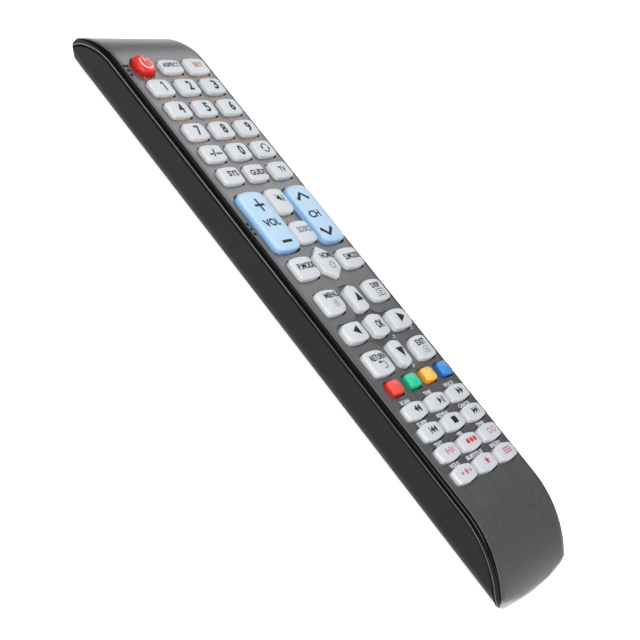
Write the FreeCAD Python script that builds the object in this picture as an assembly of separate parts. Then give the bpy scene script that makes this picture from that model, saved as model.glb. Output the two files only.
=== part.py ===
import FreeCAD, Part
import os, math
from FreeCAD import Vector as V

os.makedirs("parts", exist_ok=True)

# ---------------------------------------------------------------------------
# Television remote control. Millimetres. +X right, +Y towards the emitter end,
# +Z up through the key side. Origin: centre of the flat underside.
# ---------------------------------------------------------------------------
LENGTH = 239.0            # tip to tip
HALF_L = LENGTH / 2
RIM_HALF_W = 24.7         # widest line, at the parting of the two shells
PLATE_HALF_W = 23.0       # brushed face plate
BODY_H = 18.5             # underside to face plate
SIDE_HALF_W = 24.0        # foot of the sides, above the rounded lower corner
CORNER_R, CORNER_Z = 5.0, 8.55
CORNER_DEG = 66.0         # sweep of the lower corner; the belly then slopes to the flat

NEAR_ARC_R = 38.0         # long roll-off at the near end
NEAR_ARC_DEG = 48.0
NEAR_NOSE_R = 3.2
FAR_ARC_R = 26.0          # roll-off at the emitter end
FAR_ARC_DEG = 35.0
FAR_NOSE_R = 11.9
TIP_BOW = 1.9             # how far the two ends bow out in plan

PLATE_T = 1.2             # face plate
ROOF_T = 1.2              # roof of the upper shell under the plate
PARTING = 2.4             # parting line below the face
WALL = 1.6                # lower shell wall
GAP = 0.06                # fit between glued or clipped shells

KEY_CLEAR = 0.25          # gap round each key in its opening
FLANGE = 0.6              # lip of each key under the roof
FLANGE_T = 0.9
TRAVEL = 0.9              # push of a key

Z_ROOF = BODY_H - PLATE_T - ROOF_T        # underside of the roof, 16.1
Z_FL_TOP = Z_ROOF - 0.2
Z_FL_BOT = Z_FL_TOP - FLANGE_T
MAT_Z0, MAT_Z1 = 13.1, 13.9
PCB_Z0, PCB_Z1 = 12.1, 13.1
PCB_HALF_W = 20.6
PCB_Y0, PCB_Y1 = -84.0, 104.0

CELL_R, CELL_L = 5.25, 44.5               # two small round cells
CELL_X, CELL_Z = 5.6, 6.75
CELL_Y0 = -81.0
COVER_HW = 11.4
COVER_Y0, COVER_Y1 = -88.6, -32.2
COVER_T = 1.2
COVER_GAP = 0.25

# keys: name, shape, centre x, centre y, width, depth, height above the face,
# corner radii (far left, far right, near right, near left), bulge far, near
P = 14.1
KEY_DX = 0.7             # the whole key field sits slightly right of the centre line
NUM = (10.5, 7.0, 1.8, (1.7, 1.7, 1.7, 1.7), 0.25, 0.25)
MED = (11.8, 5.2, 1.7, (1.4, 1.4, 1.4, 1.4), 0.55, 0.55)
KEYS = []
def key(name, x, y, spec, kind="slide"):
    KEYS.append((name, x + KEY_DX, y) + spec + (kind,))
key("power_key", -14.4, 95.3, (9.4, 9.4, 3.0, None, 0, 0))
key("aspect_key", -0.3, 94.9, (10.8, 6.1, 1.7, (1.7, 1.7, 1.7, 1.7), 0.25, 0.25))
key("set_key", 13.8, 94.9, (11.2, 7.1, 1.7, (1.7, 1.7, 1.7, 1.7), 0.25, 0.25))
ROW = [85.1, 74.8, 64.6, 54.5, 44.4]
GRID = [["digit_1_key", "digit_2_key", "digit_3_key"], ["digit_4_key", "digit_5_key", "digit_6_key"],
        ["digit_7_key", "digit_8_key", "digit_9_key"], ["dash_key", "digit_0_key", "swap_key"],
        ["system_key", "guide_key", "tv_key"]]
for ry, names in zip(ROW, GRID):
    for ix, n in zip((-1, 0, 1), names):
        key(n, ix * P + 0.1, ry, NUM)
LONG = (13.3, 25.2, 2.6, (3.1, 3.1, 3.1, 3.1), 0.35, 0.35)
key("volume_rocker", -13.4, 23.9, (14.0,) + LONG[1:], "rock")
key("channel_rocker", 13.6, 23.9, LONG, "rock")
key("mute_key", 0.45, 31.3, (9.4, 10.6, 1.8, (2.0, 2.0, 2.9, 2.9), 0.25, 0.15))
key("source_key", 0.2, 17.5, (10.2, 8.9, 1.8, (2.0, 2.0, 2.2, 2.2), 0.25, 0.25))
key("picture_mode_key", -13.6, 3.6, (11.6, 8.5, 1.9, (1.9, 1.9, 1.9, 1.9), 0.3, 0.3))
key("home_key", 0.0, 4.0, (10.2, 13.7, 1.9, "hex", 0, 0))
key("sound_mode_key", 13.9, 3.7, (11.5, 7.9, 1.9, (1.9, 1.9, 1.9, 1.9), 0.3, 0.3))
key("menu_key", -13.6, -11.0, (11.5, 9.2, 1.9, (1.7, 1.7, 3.6, 1.7), 0.4, 0.2))
key("up_key", 0.0, -12.0, (7.1, 10.0, 2.1, (2.2, 2.2, 1.7, 1.7), 0.5, 0.3))
key("display_key", 13.9, -10.9, (10.9, 8.5, 1.9, (1.7, 1.7, 1.7, 3.6), 0.4, 0.2))
key("left_key", -14.0, -23.6, (11.3, 7.2, 2.1, (2.8, 1.6, 1.6, 2.4), 0.3, 0.3))
key("ok_key", 0.0, -23.5, (9.2, 7.8, 2.1, (1.5, 1.5, 1.5, 1.5), 0.6, 0.6))
key("right_key", 13.95, -23.6, (11.4, 7.4, 2.1, (1.6, 2.8, 2.4, 1.6), 0.3, 0.3))
key("return_key", -13.6, -36.1, (11.7, 9.1, 1.9, (1.7, 3.6, 1.7, 1.7), 0.2, 0.4))
key("down_key", 0.1, -35.4, (7.2, 9.7, 2.1, (1.7, 1.7, 2.2, 2.2), 0.3, 0.5))
key("exit_key", 13.9, -36.0, (11.0, 8.8, 1.9, (3.6, 1.7, 1.7, 1.7), 0.2, 0.4))
for n, kx in (("red_key", -14.8), ("green_key", -3.85), ("yellow_key", 6.55), ("blue_key", 17.25)):
    key(n, kx, -45.8, (7.3, 5.6, 2.2, (1.6, 1.6, 1.6, 1.6), 0.1, 0.1))
MROWS = [-55.4, -63.7, -72.0, -80.3]
MGRID = [["rewind_key", "play_key", "forward_key"], ["previous_key", "stop_key", "next_key"],
         ["app_1_key", "app_2_key", "app_3_key"], ["app_4_key", "app_5_key", "app_6_key"]]
for ry, names in zip(MROWS, MGRID):
    for ix, n in zip((-1, 0, 1), names):
        key(n, ix * P, ry, MED)

SCREW_AT = [(-6.0, -4.3), (6.0, -4.3)]
SCREW_SHANK_R = 1.0
SCREW_HEAD_R = 2.0


# ---------------------------------------------------------------------------
# helpers
# ---------------------------------------------------------------------------
def arc(p, m, q):
    return Part.Arc(p, m, q).toShape()

def box(x0, x1, y0, y1, z0, z1):
    return Part.makeBox(x1 - x0, y1 - y0, z1 - z0, V(x0, y0, z0))

def cyl(r, h, at, d=V(0, 0, 1)):
    return Part.makeCylinder(r, h, at, d)

def save(name, shape):
    s = shape.removeSplitter() if name not in BIG else shape
    if not s.isValid():
        print("not valid:", name)
    s.exportStep("parts/%s.step" % name)
    print("%-18s solids %d faces %d vol %.1f" % (name, len(s.Solids), len(s.Faces), s.Volume))

BIG = ()

def profile(off, zlow=-6.0):
    """Side outline (Y-Z) of the body, set in by off, open below down to zlow, extruded over X."""
    H = BODY_H
    ra = NEAR_ARC_R - off
    rn = NEAR_NOSE_R - off
    rf = FAR_ARC_R - off
    rg = FAR_NOSE_R - off
    a = math.radians(NEAR_ARC_DEG)
    b = math.radians(FAR_ARC_DEG)
    # near end: flat face -> long arc -> nose -> vertical
    yc = -HALF_L + NEAR_NOSE_R + (NEAR_ARC_R - NEAR_NOSE_R) * math.sin(a)   # long arc centre
    zc = H - NEAR_ARC_R
    nyc = yc - (NEAR_ARC_R - NEAR_NOSE_R) * math.sin(a)
    nzc = zc + (NEAR_ARC_R - NEAR_NOSE_R) * math.cos(a)
    # far end
    fyc = HALF_L - FAR_NOSE_R - (FAR_ARC_R - FAR_NOSE_R) * math.sin(b)
    fzc = H - FAR_ARC_R
    gyc = HALF_L - FAR_NOSE_R
    gzc = fzc + (FAR_ARC_R - FAR_NOSE_R) * math.cos(b)
    def on(cy, cz, r, ang):
        return V(0, cy + r * math.sin(ang), cz + r * math.cos(ang))
    e = []
    p0 = V(0, -HALF_L + off, zlow)
    p1 = on(nyc, nzc, rn, -math.pi / 2)
    p2 = on(nyc, nzc, rn, -a)
    p3 = on(yc, zc, ra, 0)
    p4 = on(fyc, fzc, rf, 0)
    p5 = on(fyc, fzc, rf, b)
    p6 = on(gyc, gzc, rg, math.pi / 2)
    p7 = V(0, HALF_L - off, zlow)
    e.append(Part.makeLine(p0, p1))
    e.append(arc(p1, on(nyc, nzc, rn, -(a + math.pi / 2) / 2), p2))
    e.append(arc(p2, on(yc, zc, ra, -a / 2), p3))
    e.append(Part.makeLine(p3, p4))
    e.append(arc(p4, on(fyc, fzc, rf, b / 2), p5))
    e.append(arc(p5, on(gyc, gzc, rg, (b + math.pi / 2) / 2), p6))
    e.append(Part.makeLine(p6, p7))
    e.append(Part.makeLine(p7, p0))
    f = Part.Face(Part.Wire(e))
    f.translate(V(-30, 0, 0))
    return f.extrude(V(60, 0, 0))

def section(inset=0.0, grow_top=0.0):
    """Cross-section (X-Z) of the body over its whole length, set in by inset all round."""
    t = inset
    r = CORNER_R - t
    cx, cz = SIDE_HALF_W - CORNER_R, CORNER_Z
    a = math.radians(CORNER_DEG)
    zr = BODY_H - PARTING
    foot = V(cx + r, 0, cz)
    heel = V(cx + r * math.cos(a), 0, cz - r * math.sin(a))
    run = (heel.z - t) / math.cos(a)
    flat = V(heel.x - run * math.sin(a), 0, t)
    top = BODY_H + (0.0 if t == 0 else 3.0)
    xw = RIM_HALF_W - t
    xt = RIM_HALF_W - 0.9 if t == 0 else xw
    e = []
    for s in (1, -1):
        f = lambda v: V(v.x * s, 0, v.z)
        e.append(Part.makeLine(f(flat), f(heel)))
        mid = V(cx + r * math.cos(a / 2), 0, cz - r * math.sin(a / 2))
        e.append(arc(f(heel), f(mid), f(foot)))
        e.append(Part.makeLine(f(foot), f(V(xw, 0, zr))))
        if t == 0:
            e.append(arc(f(V(xw, 0, zr)), f(V(xw - 0.2, 0, zr + 1.25)), f(V(xt, 0, top))))
        else:
            e.append(Part.makeLine(f(V(xw, 0, zr)), f(V(xt, 0, top))))
    e.append(Part.makeLine(V(-flat.x, 0, t), V(flat.x, 0, t)))
    e.append(Part.makeLine(V(-xt, 0, top), V(xt, 0, top)))
    w = Part.Wire(Part.__sortEdges__(e))
    face = Part.Face(w)
    face.translate(V(0, -130, 0))
    return face.extrude(V(0, 260, 0))

def plan(off=0.0, half=RIM_HALF_W):
    """Plan outline with bowed ends, extruded over Z."""
    L = HALF_L - off
    hw = half - off
    bow = TIP_BOW
    rc = 3.2
    yk = L - bow
    e = []
    pl = [V(-hw, -yk + rc, 0), V(-hw + rc, -yk, 0), V(hw - rc, -yk, 0), V(hw, -yk + rc, 0),
          V(hw, yk - rc, 0), V(hw - rc, yk, 0), V(-hw + rc, yk, 0), V(-hw, yk - rc, 0)]
    k = rc * (1 - math.sqrt(0.5))
    e.append(arc(pl[0], V(-hw + k, -yk + k, 0), pl[1]))
    e.append(arc(pl[1], V(0, -L, 0), pl[2]))
    e.append(arc(pl[2], V(hw - k, -yk + k, 0), pl[3]))
    e.append(Part.makeLine(pl[3], pl[4]))
    e.append(arc(pl[4], V(hw - k, yk - k, 0), pl[5]))
    e.append(arc(pl[5], V(0, L, 0), pl[6]))
    e.append(arc(pl[6], V(-hw + k, yk - k, 0), pl[7]))
    e.append(Part.makeLine(pl[7], pl[0]))
    f = Part.Face(Part.Wire(e))
    f.translate(V(0, 0, -8))
    return f.extrude(V(0, 0, 40))

def key_face(x, y, w, d, rs, bf, bn, grow=0.0):
    """Flat outline of a key, grown by grow."""
    w = w + 2 * grow
    d = d + 2 * grow
    if rs is None:
        c = Part.Circle(V(x, y, 0), V(0, 0, 1), w / 2).toShape()
        return Part.Face(Part.Wire([c]))
    if rs == "hex":
        s = 3.3
        pts = [V(0, d / 2, 0), V(w / 2, s, 0), V(w / 2, -s, 0), V(0, -d / 2, 0), V(-w / 2, -s, 0), V(-w / 2, s, 0)]
        pts = [p + V(x, y, 0) for p in pts]
        return Part.Face(Part.makePolygon(pts + [pts[0]]))
    r = [q + grow for q in rs]
    X, Y = w / 2, d / 2
    k = 1 - math.sqrt(0.5)
    a = [V(-X, Y - r[0], 0), V(-X + r[0], Y, 0), V(X - r[1], Y, 0), V(X, Y - r[1], 0),
         V(X, -Y + r[2], 0), V(X - r[2], -Y, 0), V(-X + r[3], -Y, 0), V(-X, -Y + r[3], 0)]
    m = [V(-X + k * r[0], Y - k * r[0], 0), V((a[1].x + a[2].x) / 2, Y + bf, 0), V(X - k * r[1], Y - k * r[1], 0), None,
         V(X - k * r[2], -Y + k * r[2], 0), V((a[5].x + a[6].x) / 2, -Y - bn, 0), V(-X + k * r[3], -Y + k * r[3], 0), None]
    o = V(x, y, 0)
    e = []
    for i in range(8):
        p, q = a[i] + o, a[(i + 1) % 8] + o
        e.append(Part.makeLine(p, q) if m[i] is None else arc(p, m[i] + o, q))
    return Part.Face(Part.Wire(e))

def prism(face, z0, z1):
    f = face.copy()
    f.translate(V(0, 0, z0))
    return f.extrude(V(0, 0, z1 - z0))

# ---------------------------------------------------------------------------
# housing
# ---------------------------------------------------------------------------
outer = profile(0.0)
body = outer.common(section()).common(plan())
# round the lower edge of both ends
def belly(ya, za, ym, zm, yb):
    e = [Part.makeLine(V(-30, ya, -2), V(-30, ya, za)), arc(V(-30, ya, za), V(-30, ym, zm), V(-30, yb, 0)),
         Part.makeLine(V(-30, yb, 0), V(-30, yb, -2)), Part.makeLine(V(-30, yb, -2), V(-30, ya, -2))]
    return Part.Face(Part.Wire(e)).extrude(V(60, 0, 0))
body = body.common(box(-30, 30, -HALF_L - 1, HALF_L + 1, 0, 40))
body = body.cut(belly(-HALF_L - 0.2, 3.3, -117.2, 1.15, -112.0)).cut(belly(HALF_L + 0.2, 8.0, 117.4, 3.2, 107.0))

p_plate = profile(PLATE_T)
p_gap = profile(PLATE_T + GAP / 2)
p_rim = profile(0.45)
p_part = profile(PARTING)
p_low = profile(PARTING + GAP)

Z_FAR_PLATE, Z_NEAR_PLATE = 12.0, 3.4     # where the face plate stops on the two noses
Z_FAR_PART, Z_NEAR_PART = 5.0, 2.6        # where the shells part on the two noses

def above(zn, zf):
    return box(-30, 30, -130, 0, zn, 40).fuse(box(-30, 30, 0, 130, zf, 40))

def tongue(hw, r):
    """Side limits of the face plate: straight, then drawn in where the two tips come down."""
    e = []
    zc = CORNER_Z
    for s in (1, -1):
        e.append(Part.makeLine(V(s * hw, 0, 40), V(s * hw, 0, zc)))
        k = r * math.sqrt(0.5)
        e.append(arc(V(s * hw, 0, zc), V(s * (hw - r + k), 0, zc - k), V(s * (hw - r), 0, zc - r)))
    e.append(Part.makeLine(V(-hw, 0, 40), V(hw, 0, 40)))
    e.append(Part.makeLine(V(-hw + r, 0, zc - r), V(hw - r, 0, zc - r)))
    f = Part.Face(Part.Wire(Part.__sortEdges__(e)))
    f.translate(V(0, -130, 0))
    return f.extrude(V(0, 260, 0))
inner_w = tongue(PLATE_HALF_W, 5.4)
face_panel = body.cut(p_plate).common(inner_w).common(above(Z_NEAR_PLATE, Z_FAR_PLATE))
pocket_w = tongue(PLATE_HALF_W + GAP, 5.4)
pocket = body.cut(p_gap).common(pocket_w).common(above(Z_NEAR_PLATE - GAP, Z_FAR_PLATE - GAP))

shell_zone = body.cut(p_part).common(above(Z_NEAR_PART, Z_FAR_PART))
rim_low = body.cut(p_rim).cut(pocket_w)
upper_case = shell_zone.cut(pocket).cut(rim_low)
# skirt that drops inside the lower shell
for s, ya, yb in ((-1, -84, 96), (1, -84, -50.2), (1, -41.4, 96)):     # gap beside the last colour key
    sk = box(min(s * 21.8, s * 22.6), max(s * 21.8, s * 22.6), ya, yb, 14.3, Z_ROOF + 0.4)
    upper_case = upper_case.fuse(sk)
# screw posts under the roof
for sx, sy in SCREW_AT:
    upper_case = upper_case.fuse(cyl(2.3, Z_ROOF - PCB_Z1 - 0.1 + 0.4, V(sx, sy, PCB_Z1 + 0.1)))
    upper_case = upper_case.cut(cyl(SCREW_SHANK_R + 0.05, 2.7, V(sx, sy, PCB_Z1)))
upper_case = upper_case.cut(cyl(2.65, 14, V(0, 108, 8.6), V(0, 1, 0)))

low_zone = body.common(p_low).fuse(body.cut(above(Z_NEAR_PART - GAP, Z_FAR_PART - GAP)))
p_cav = profile(3.1)
cavity = p_cav.common(section(WALL)).common(plan(WALL + 1.2))
cavity = cavity.common(box(-30, 30, -114.6, 130, -1, 40))
inner_belly = belly(HALF_L + 0.2, 8.0, 117.4, 3.2, 107.0)
inner_belly.translate(V(0, -1.3, 1.35))
cavity = cavity.cut(inner_belly)
lower_case = low_zone.cut(cavity)
lower_case = lower_case.cut(cavity.common(box(-30, 30, -92, 104, 4, 40)).fuse(
    section(WALL).common(box(-30, 30, -92, 104, 10, 40))))
lower_case = lower_case.cut(cyl(3.15, 16, V(0, 101, 8.6), V(0, 1, 0)))
# battery well
well = box(-12.7, 12.7, -89.9, -31.0, 0.4, 11.9).common(section(0.6))
well = well.cut(box(-11.7, 11.7, -88.9, -35.0, -1, 20))
lower_case = lower_case.fuse(well)
door = box(-COVER_HW - COVER_GAP, COVER_HW + COVER_GAP, COVER_Y0 - COVER_GAP, COVER_Y1 + COVER_GAP - 0.05, -1, 2.5)
lower_case = lower_case.cut(door)
# screw wells from below
for sx, sy in SCREW_AT:
    lower_case = lower_case.fuse(cyl(3.2, PCB_Z0 - 0.1 - 1.0, V(sx, sy, 1.0)).common(section(0.6)))
    lower_case = lower_case.cut(cyl(SCREW_HEAD_R + 0.35, 6.0, V(sx, sy, -1)))
    lower_case = lower_case.cut(cyl(SCREW_SHANK_R + 0.3, 20, V(sx, sy, -1)))
# board rests
for sx in (-1, 1):
    for yy in (92, 30, -60):
        lower_case = lower_case.fuse(box(min(sx * 18.2, sx * 19.6), max(sx * 18.2, sx * 19.6), yy - 0.8, yy + 0.8, 1.8, PCB_Z0 - 0.02).common(section(0.6)))

# ---------------------------------------------------------------------------
# keys and their openings
# ---------------------------------------------------------------------------
# sunk cross round the five direction keys, with rounded arm ends and four rounded inner corners
def cross_face(cx, cy, ax, wy, ay, wx, re, ri):
    """ax, ay: arm half lengths; wy: half depth of the side arms; wx: half width of the far and near arms."""
    pts, mids = [], []
    def q(sx, sy):
        ke, ki = re * (1 - math.sqrt(0.5)), ri * (1 - math.sqrt(0.5))
        return [((sx * ax, sy * (wy - re)), None), ((sx * (ax - re), sy * wy), (sx * (ax - ke), sy * (wy - ke))),
                ((sx * (wx + ri), sy * wy), None), ((sx * wx, sy * (wy + ri)), (sx * (wx + ki), sy * (wy + ki))),
                ((sx * wx, sy * (ay - re)), None), ((sx * (wx - re), sy * ay), (sx * (wx - ke), sy * (ay - ke)))]
    seq = q(1, 1)
    b = q(-1, 1)
    # walk back along the mirrored quadrant: points reversed, each arc mid moves to the point after it
    def back(lst):
        out = []
        for i in range(len(lst) - 1, -1, -1):
            mid = lst[i + 1][1] if i + 1 < len(lst) else None
            out.append((lst[i][0], mid))
        return out
    ring = seq + back(b) + q(-1, -1) + back(q(1, -1))
    e = []
    n = len(ring)
    for i in range(n):
        p, t = ring[i - 1][0], ring[i]
        a0, a1 = V(cx + p[0], cy + p[1], 0), V(cx + t[0][0], cy + t[0][1], 0)
        if a0.distanceToPoint(a1) < 1e-6:
            continue
        e.append(Part.makeLine(a0, a1) if t[1] is None else arc(a0, V(cx + t[1][0], cy + t[1][1], 0), a1))
    return Part.Face(Part.Wire(e))
sunk = prism(cross_face(0.7, -23.6, 20.4, 4.6, 18.0, 4.5, 3.2, 4.2), BODY_H - 0.35, BODY_H + 1)
face_panel = face_panel.cut(sunk)

cuts_plate, cuts_roof, cuts_mat = [], [], []
solids = {}
for (n, x, y, w, d, h, rs, bf, bn, kind) in KEYS:
    g = KEY_CLEAR if kind == "slide" else KEY_CLEAR + 0.15
    ro = rs if rs in (None, "hex") else tuple(max(q - 0.9, 0.6) for q in rs)   # tighter corners than the key
    hole = prism(key_face(x, y, w, d, ro, bf, bn, g), 13.95, BODY_H + 2)
    cuts_plate.append(hole)
    cap = prism(key_face(x, y, w, d, rs, bf, bn, 0.0), Z_FL_BOT, BODY_H + h - 0.55)
    crown = prism(key_face(x, y, w - 1.1, d - 1.1, rs if rs in (None, "hex") else tuple(max(q - 0.45, 0.3) for q in rs), bf, bn, 0.0), BODY_H + h - 0.55, BODY_H + h)
    zt, zb = Z_FL_TOP, Z_FL_BOT
    if kind == "rock":
        zt, zb = 15.3, 14.6
        cap = prism(key_face(x, y, w, d, rs, bf, bn, 0.0), zb, BODY_H + h - 0.55)
    lip = prism(key_face(x, y, w, d, rs, bf, bn, FLANGE), zb, zt)
    k = cap.fuse(crown).fuse(lip)
    solids[n] = k
    cuts_mat.append(cyl(1.6, 3, V(x, y, 12.5)))
allcut = Part.makeCompound(cuts_plate)
face_panel = face_panel.cut(allcut)
upper_case = upper_case.cut(allcut)

# small raised guide marks and the sound slots are surface detail only

mat = box(-20.4, 20.4, -86.5, 101.5, MAT_Z0, MAT_Z1)
for sx, sy in SCREW_AT:
    mat = mat.cut(cyl(3.2, 4, V(sx, sy, 12)))
mat = mat.cut(box(-21, 21, -90, -84.2, 12, 15))
mat = mat.cut(Part.makeCompound(cuts_mat))

board = box(-PCB_HALF_W, PCB_HALF_W, PCB_Y0, PCB_Y1, PCB_Z0, PCB_Z1)
for sx, sy in SCREW_AT:
    board = board.cut(cyl(1.5, 4, V(sx, sy, 11)))
chip = box(-5, 5, 55, 65, PCB_Z0 - 1.6, PCB_Z0)
crystal = cyl(1.5, 6.0, V(9, 70, PCB_Z0 - 1.5), V(0, 1, 0)).common(box(7, 11, 69, 77, 9, PCB_Z0))
cap1 = cyl(2.5, 8.0, V(-10, 74, PCB_Z0 - 2.6), V(0, 1, 0)).common(box(-14, -6, 73, 83, 5, PCB_Z0))
pcb = Part.makeCompound([board, chip, crystal, cap1])

# infra-red emitter: round lens body with a collar, two leads bent up to the board
led = cyl(2.5, 5.7, V(0, 110.2, 8.6), V(0, 1, 0))
led = led.fuse(Part.makeSphere(2.5, V(0, 115.9, 8.6)))
led = led.fuse(cyl(2.9, 1.0, V(0, 109.4, 8.6), V(0, 1, 0)))
for s in (-1.27, 1.27):
    led = led.fuse(box(s - 0.25, s + 0.25, 102.5, 109.6, 8.35, 8.85))
    led = led.fuse(box(s - 0.25, s + 0.25, 102.5, 103.0, 8.35, PCB_Z0 - 0.02))

# battery cover: plate with a rounded hinge edge and a finger latch
cov = box(-COVER_HW, COVER_HW, COVER_Y0, COVER_Y1 - COVER_T, 0, COVER_T)
hinge_y = COVER_Y1 - COVER_T
q = cyl(COVER_T, 2 * COVER_HW, V(-COVER_HW, hinge_y, COVER_T), V(1, 0, 0)).common(
    box(-COVER_HW, COVER_HW, hinge_y, hinge_y + 3, -1, COVER_T))
cov = cov.fuse(q)
for i in range(5):
    yy = COVER_Y0 + 4.0 + i * 1.6
    cov = cov.cut(box(-4.5 + i * 0.0, 4.5, yy, yy + 0.7, -1, 0.35))

cells = []
for s, cx in ((1, -CELL_X), (-1, CELL_X)):
    c = cyl(CELL_R, CELL_L - 1.0, V(cx, CELL_Y0 + (0 if s > 0 else 1.0), CELL_Z), V(0, 1, 0))
    ty = CELL_Y0 + CELL_L - 1.0 if s > 0 else CELL_Y0
    c = c.fuse(cyl(1.9, 1.02, V(cx, ty - (0.01 if s > 0 else 0), CELL_Z), V(0, 1, 0)))
    cells.append(c)
cells = Part.makeCompound(cells)

# contacts: flat plates at the far end, coil-backed plates at the near end
con = []
for cx in (-CELL_X, CELL_X):
    con.append(box(cx - 4.2, cx + 4.2, CELL_Y0 + CELL_L + 0.05, CELL_Y0 + CELL_L + 0.45, 3.0, 10.8))
    pl = box(cx - 4.2, cx + 4.2, -88.85, -88.45, 3.0, 10.8)
    for i, r in enumerate((3.4, 2.9, 2.4, 1.9)):
        z0 = -88.45 + i * 1.85
        rg = Part.makeTorus(r, 0.35, V(cx, z0 + 0.7, CELL_Z), V(0, 1, 0))
        pl = pl.fuse(rg)
        if i < 3:
            pl = pl.fuse(cyl(0.34, 2.3, V(cx + r - 0.15, z0 - 0.05, CELL_Z), V(-0.12, 1, 0)))
    con.append(pl)
contacts = Part.makeCompound(con)

screws = []
for sx, sy in SCREW_AT:
    sh = cyl(SCREW_SHANK_R, 10.4, V(sx, sy, 4.9))
    hd = cyl(SCREW_HEAD_R, 1.3, V(sx, sy, 3.68))
    s1 = sh.fuse(hd)
    s1 = s1.cut(box(sx - 1.2, sx + 1.2, sy - 0.25, sy + 0.25, 3.0, 4.3))
    s1 = s1.cut(box(sx - 0.25, sx + 0.25, sy - 1.2, sy + 1.2, 3.0, 4.3))
    screws.append(s1)
screws = Part.makeCompound(screws)

save("face_panel", face_panel)
save("upper_case", upper_case)
save("lower_case", lower_case)
save("battery_cover", cov)
save("keypad_mat", mat)
save("circuit_board", pcb)
save("ir_emitter", led)
save("battery_cells", cells)
save("battery_contacts", contacts)
save("case_screws", screws)
for n in solids:
    save(n, solids[n])
print("nodes", 10 + len(solids))
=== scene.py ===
import math
import bpy
import bmesh
from mathutils import Vector, Matrix
from mathutils.bvhtree import BVHTree


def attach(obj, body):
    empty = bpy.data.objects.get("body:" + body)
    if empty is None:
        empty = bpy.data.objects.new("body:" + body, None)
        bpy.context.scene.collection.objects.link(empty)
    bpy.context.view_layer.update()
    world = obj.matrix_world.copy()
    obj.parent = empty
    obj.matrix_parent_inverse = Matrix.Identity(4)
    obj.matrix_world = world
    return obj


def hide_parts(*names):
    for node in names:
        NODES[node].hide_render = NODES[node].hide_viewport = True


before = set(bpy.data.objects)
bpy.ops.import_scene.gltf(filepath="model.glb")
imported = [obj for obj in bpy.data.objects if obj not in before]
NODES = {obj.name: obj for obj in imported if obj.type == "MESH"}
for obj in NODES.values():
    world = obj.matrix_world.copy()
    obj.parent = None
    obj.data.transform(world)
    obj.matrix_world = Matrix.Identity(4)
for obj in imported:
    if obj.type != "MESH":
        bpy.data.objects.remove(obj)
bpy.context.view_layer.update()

MM = 0.001
COL = bpy.context.scene.collection

# ---------------------------------------------------------------------------
# dimensions, in millimetres, as in the construction
# ---------------------------------------------------------------------------
HALF_L = 119.5
BODY_H = 18.5
RIM_HW = 24.7
PLATE_HW = 23.0
NEAR_R, NEAR_A, NEAR_N = 38.0, math.radians(48.0), 3.2
FAR_R, FAR_A, FAR_N = 26.0, math.radians(35.0), 11.9
TIP_BOW = 1.9
ZF = BODY_H

NYC = -HALF_L + NEAR_N + (NEAR_R - NEAR_N) * math.sin(NEAR_A)
NZC = BODY_H - NEAR_R
NNY = NYC - (NEAR_R - NEAR_N) * math.sin(NEAR_A)
NNZ = NZC + (NEAR_R - NEAR_N) * math.cos(NEAR_A)
FYC = HALF_L - FAR_N - (FAR_R - FAR_N) * math.sin(FAR_A)
FZC = BODY_H - FAR_R
FNY = HALF_L - FAR_N
FNZ = FZC + (FAR_R - FAR_N) * math.cos(FAR_A)


# ---------------------------------------------------------------------------
# materials
# ---------------------------------------------------------------------------
def srgb(r, g, b):
    def f(c):
        c = c / 255.0
        return c / 12.92 if c <= 0.04045 else ((c + 0.055) / 1.055) ** 2.4
    return (f(r), f(g), f(b), 1.0)


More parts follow.
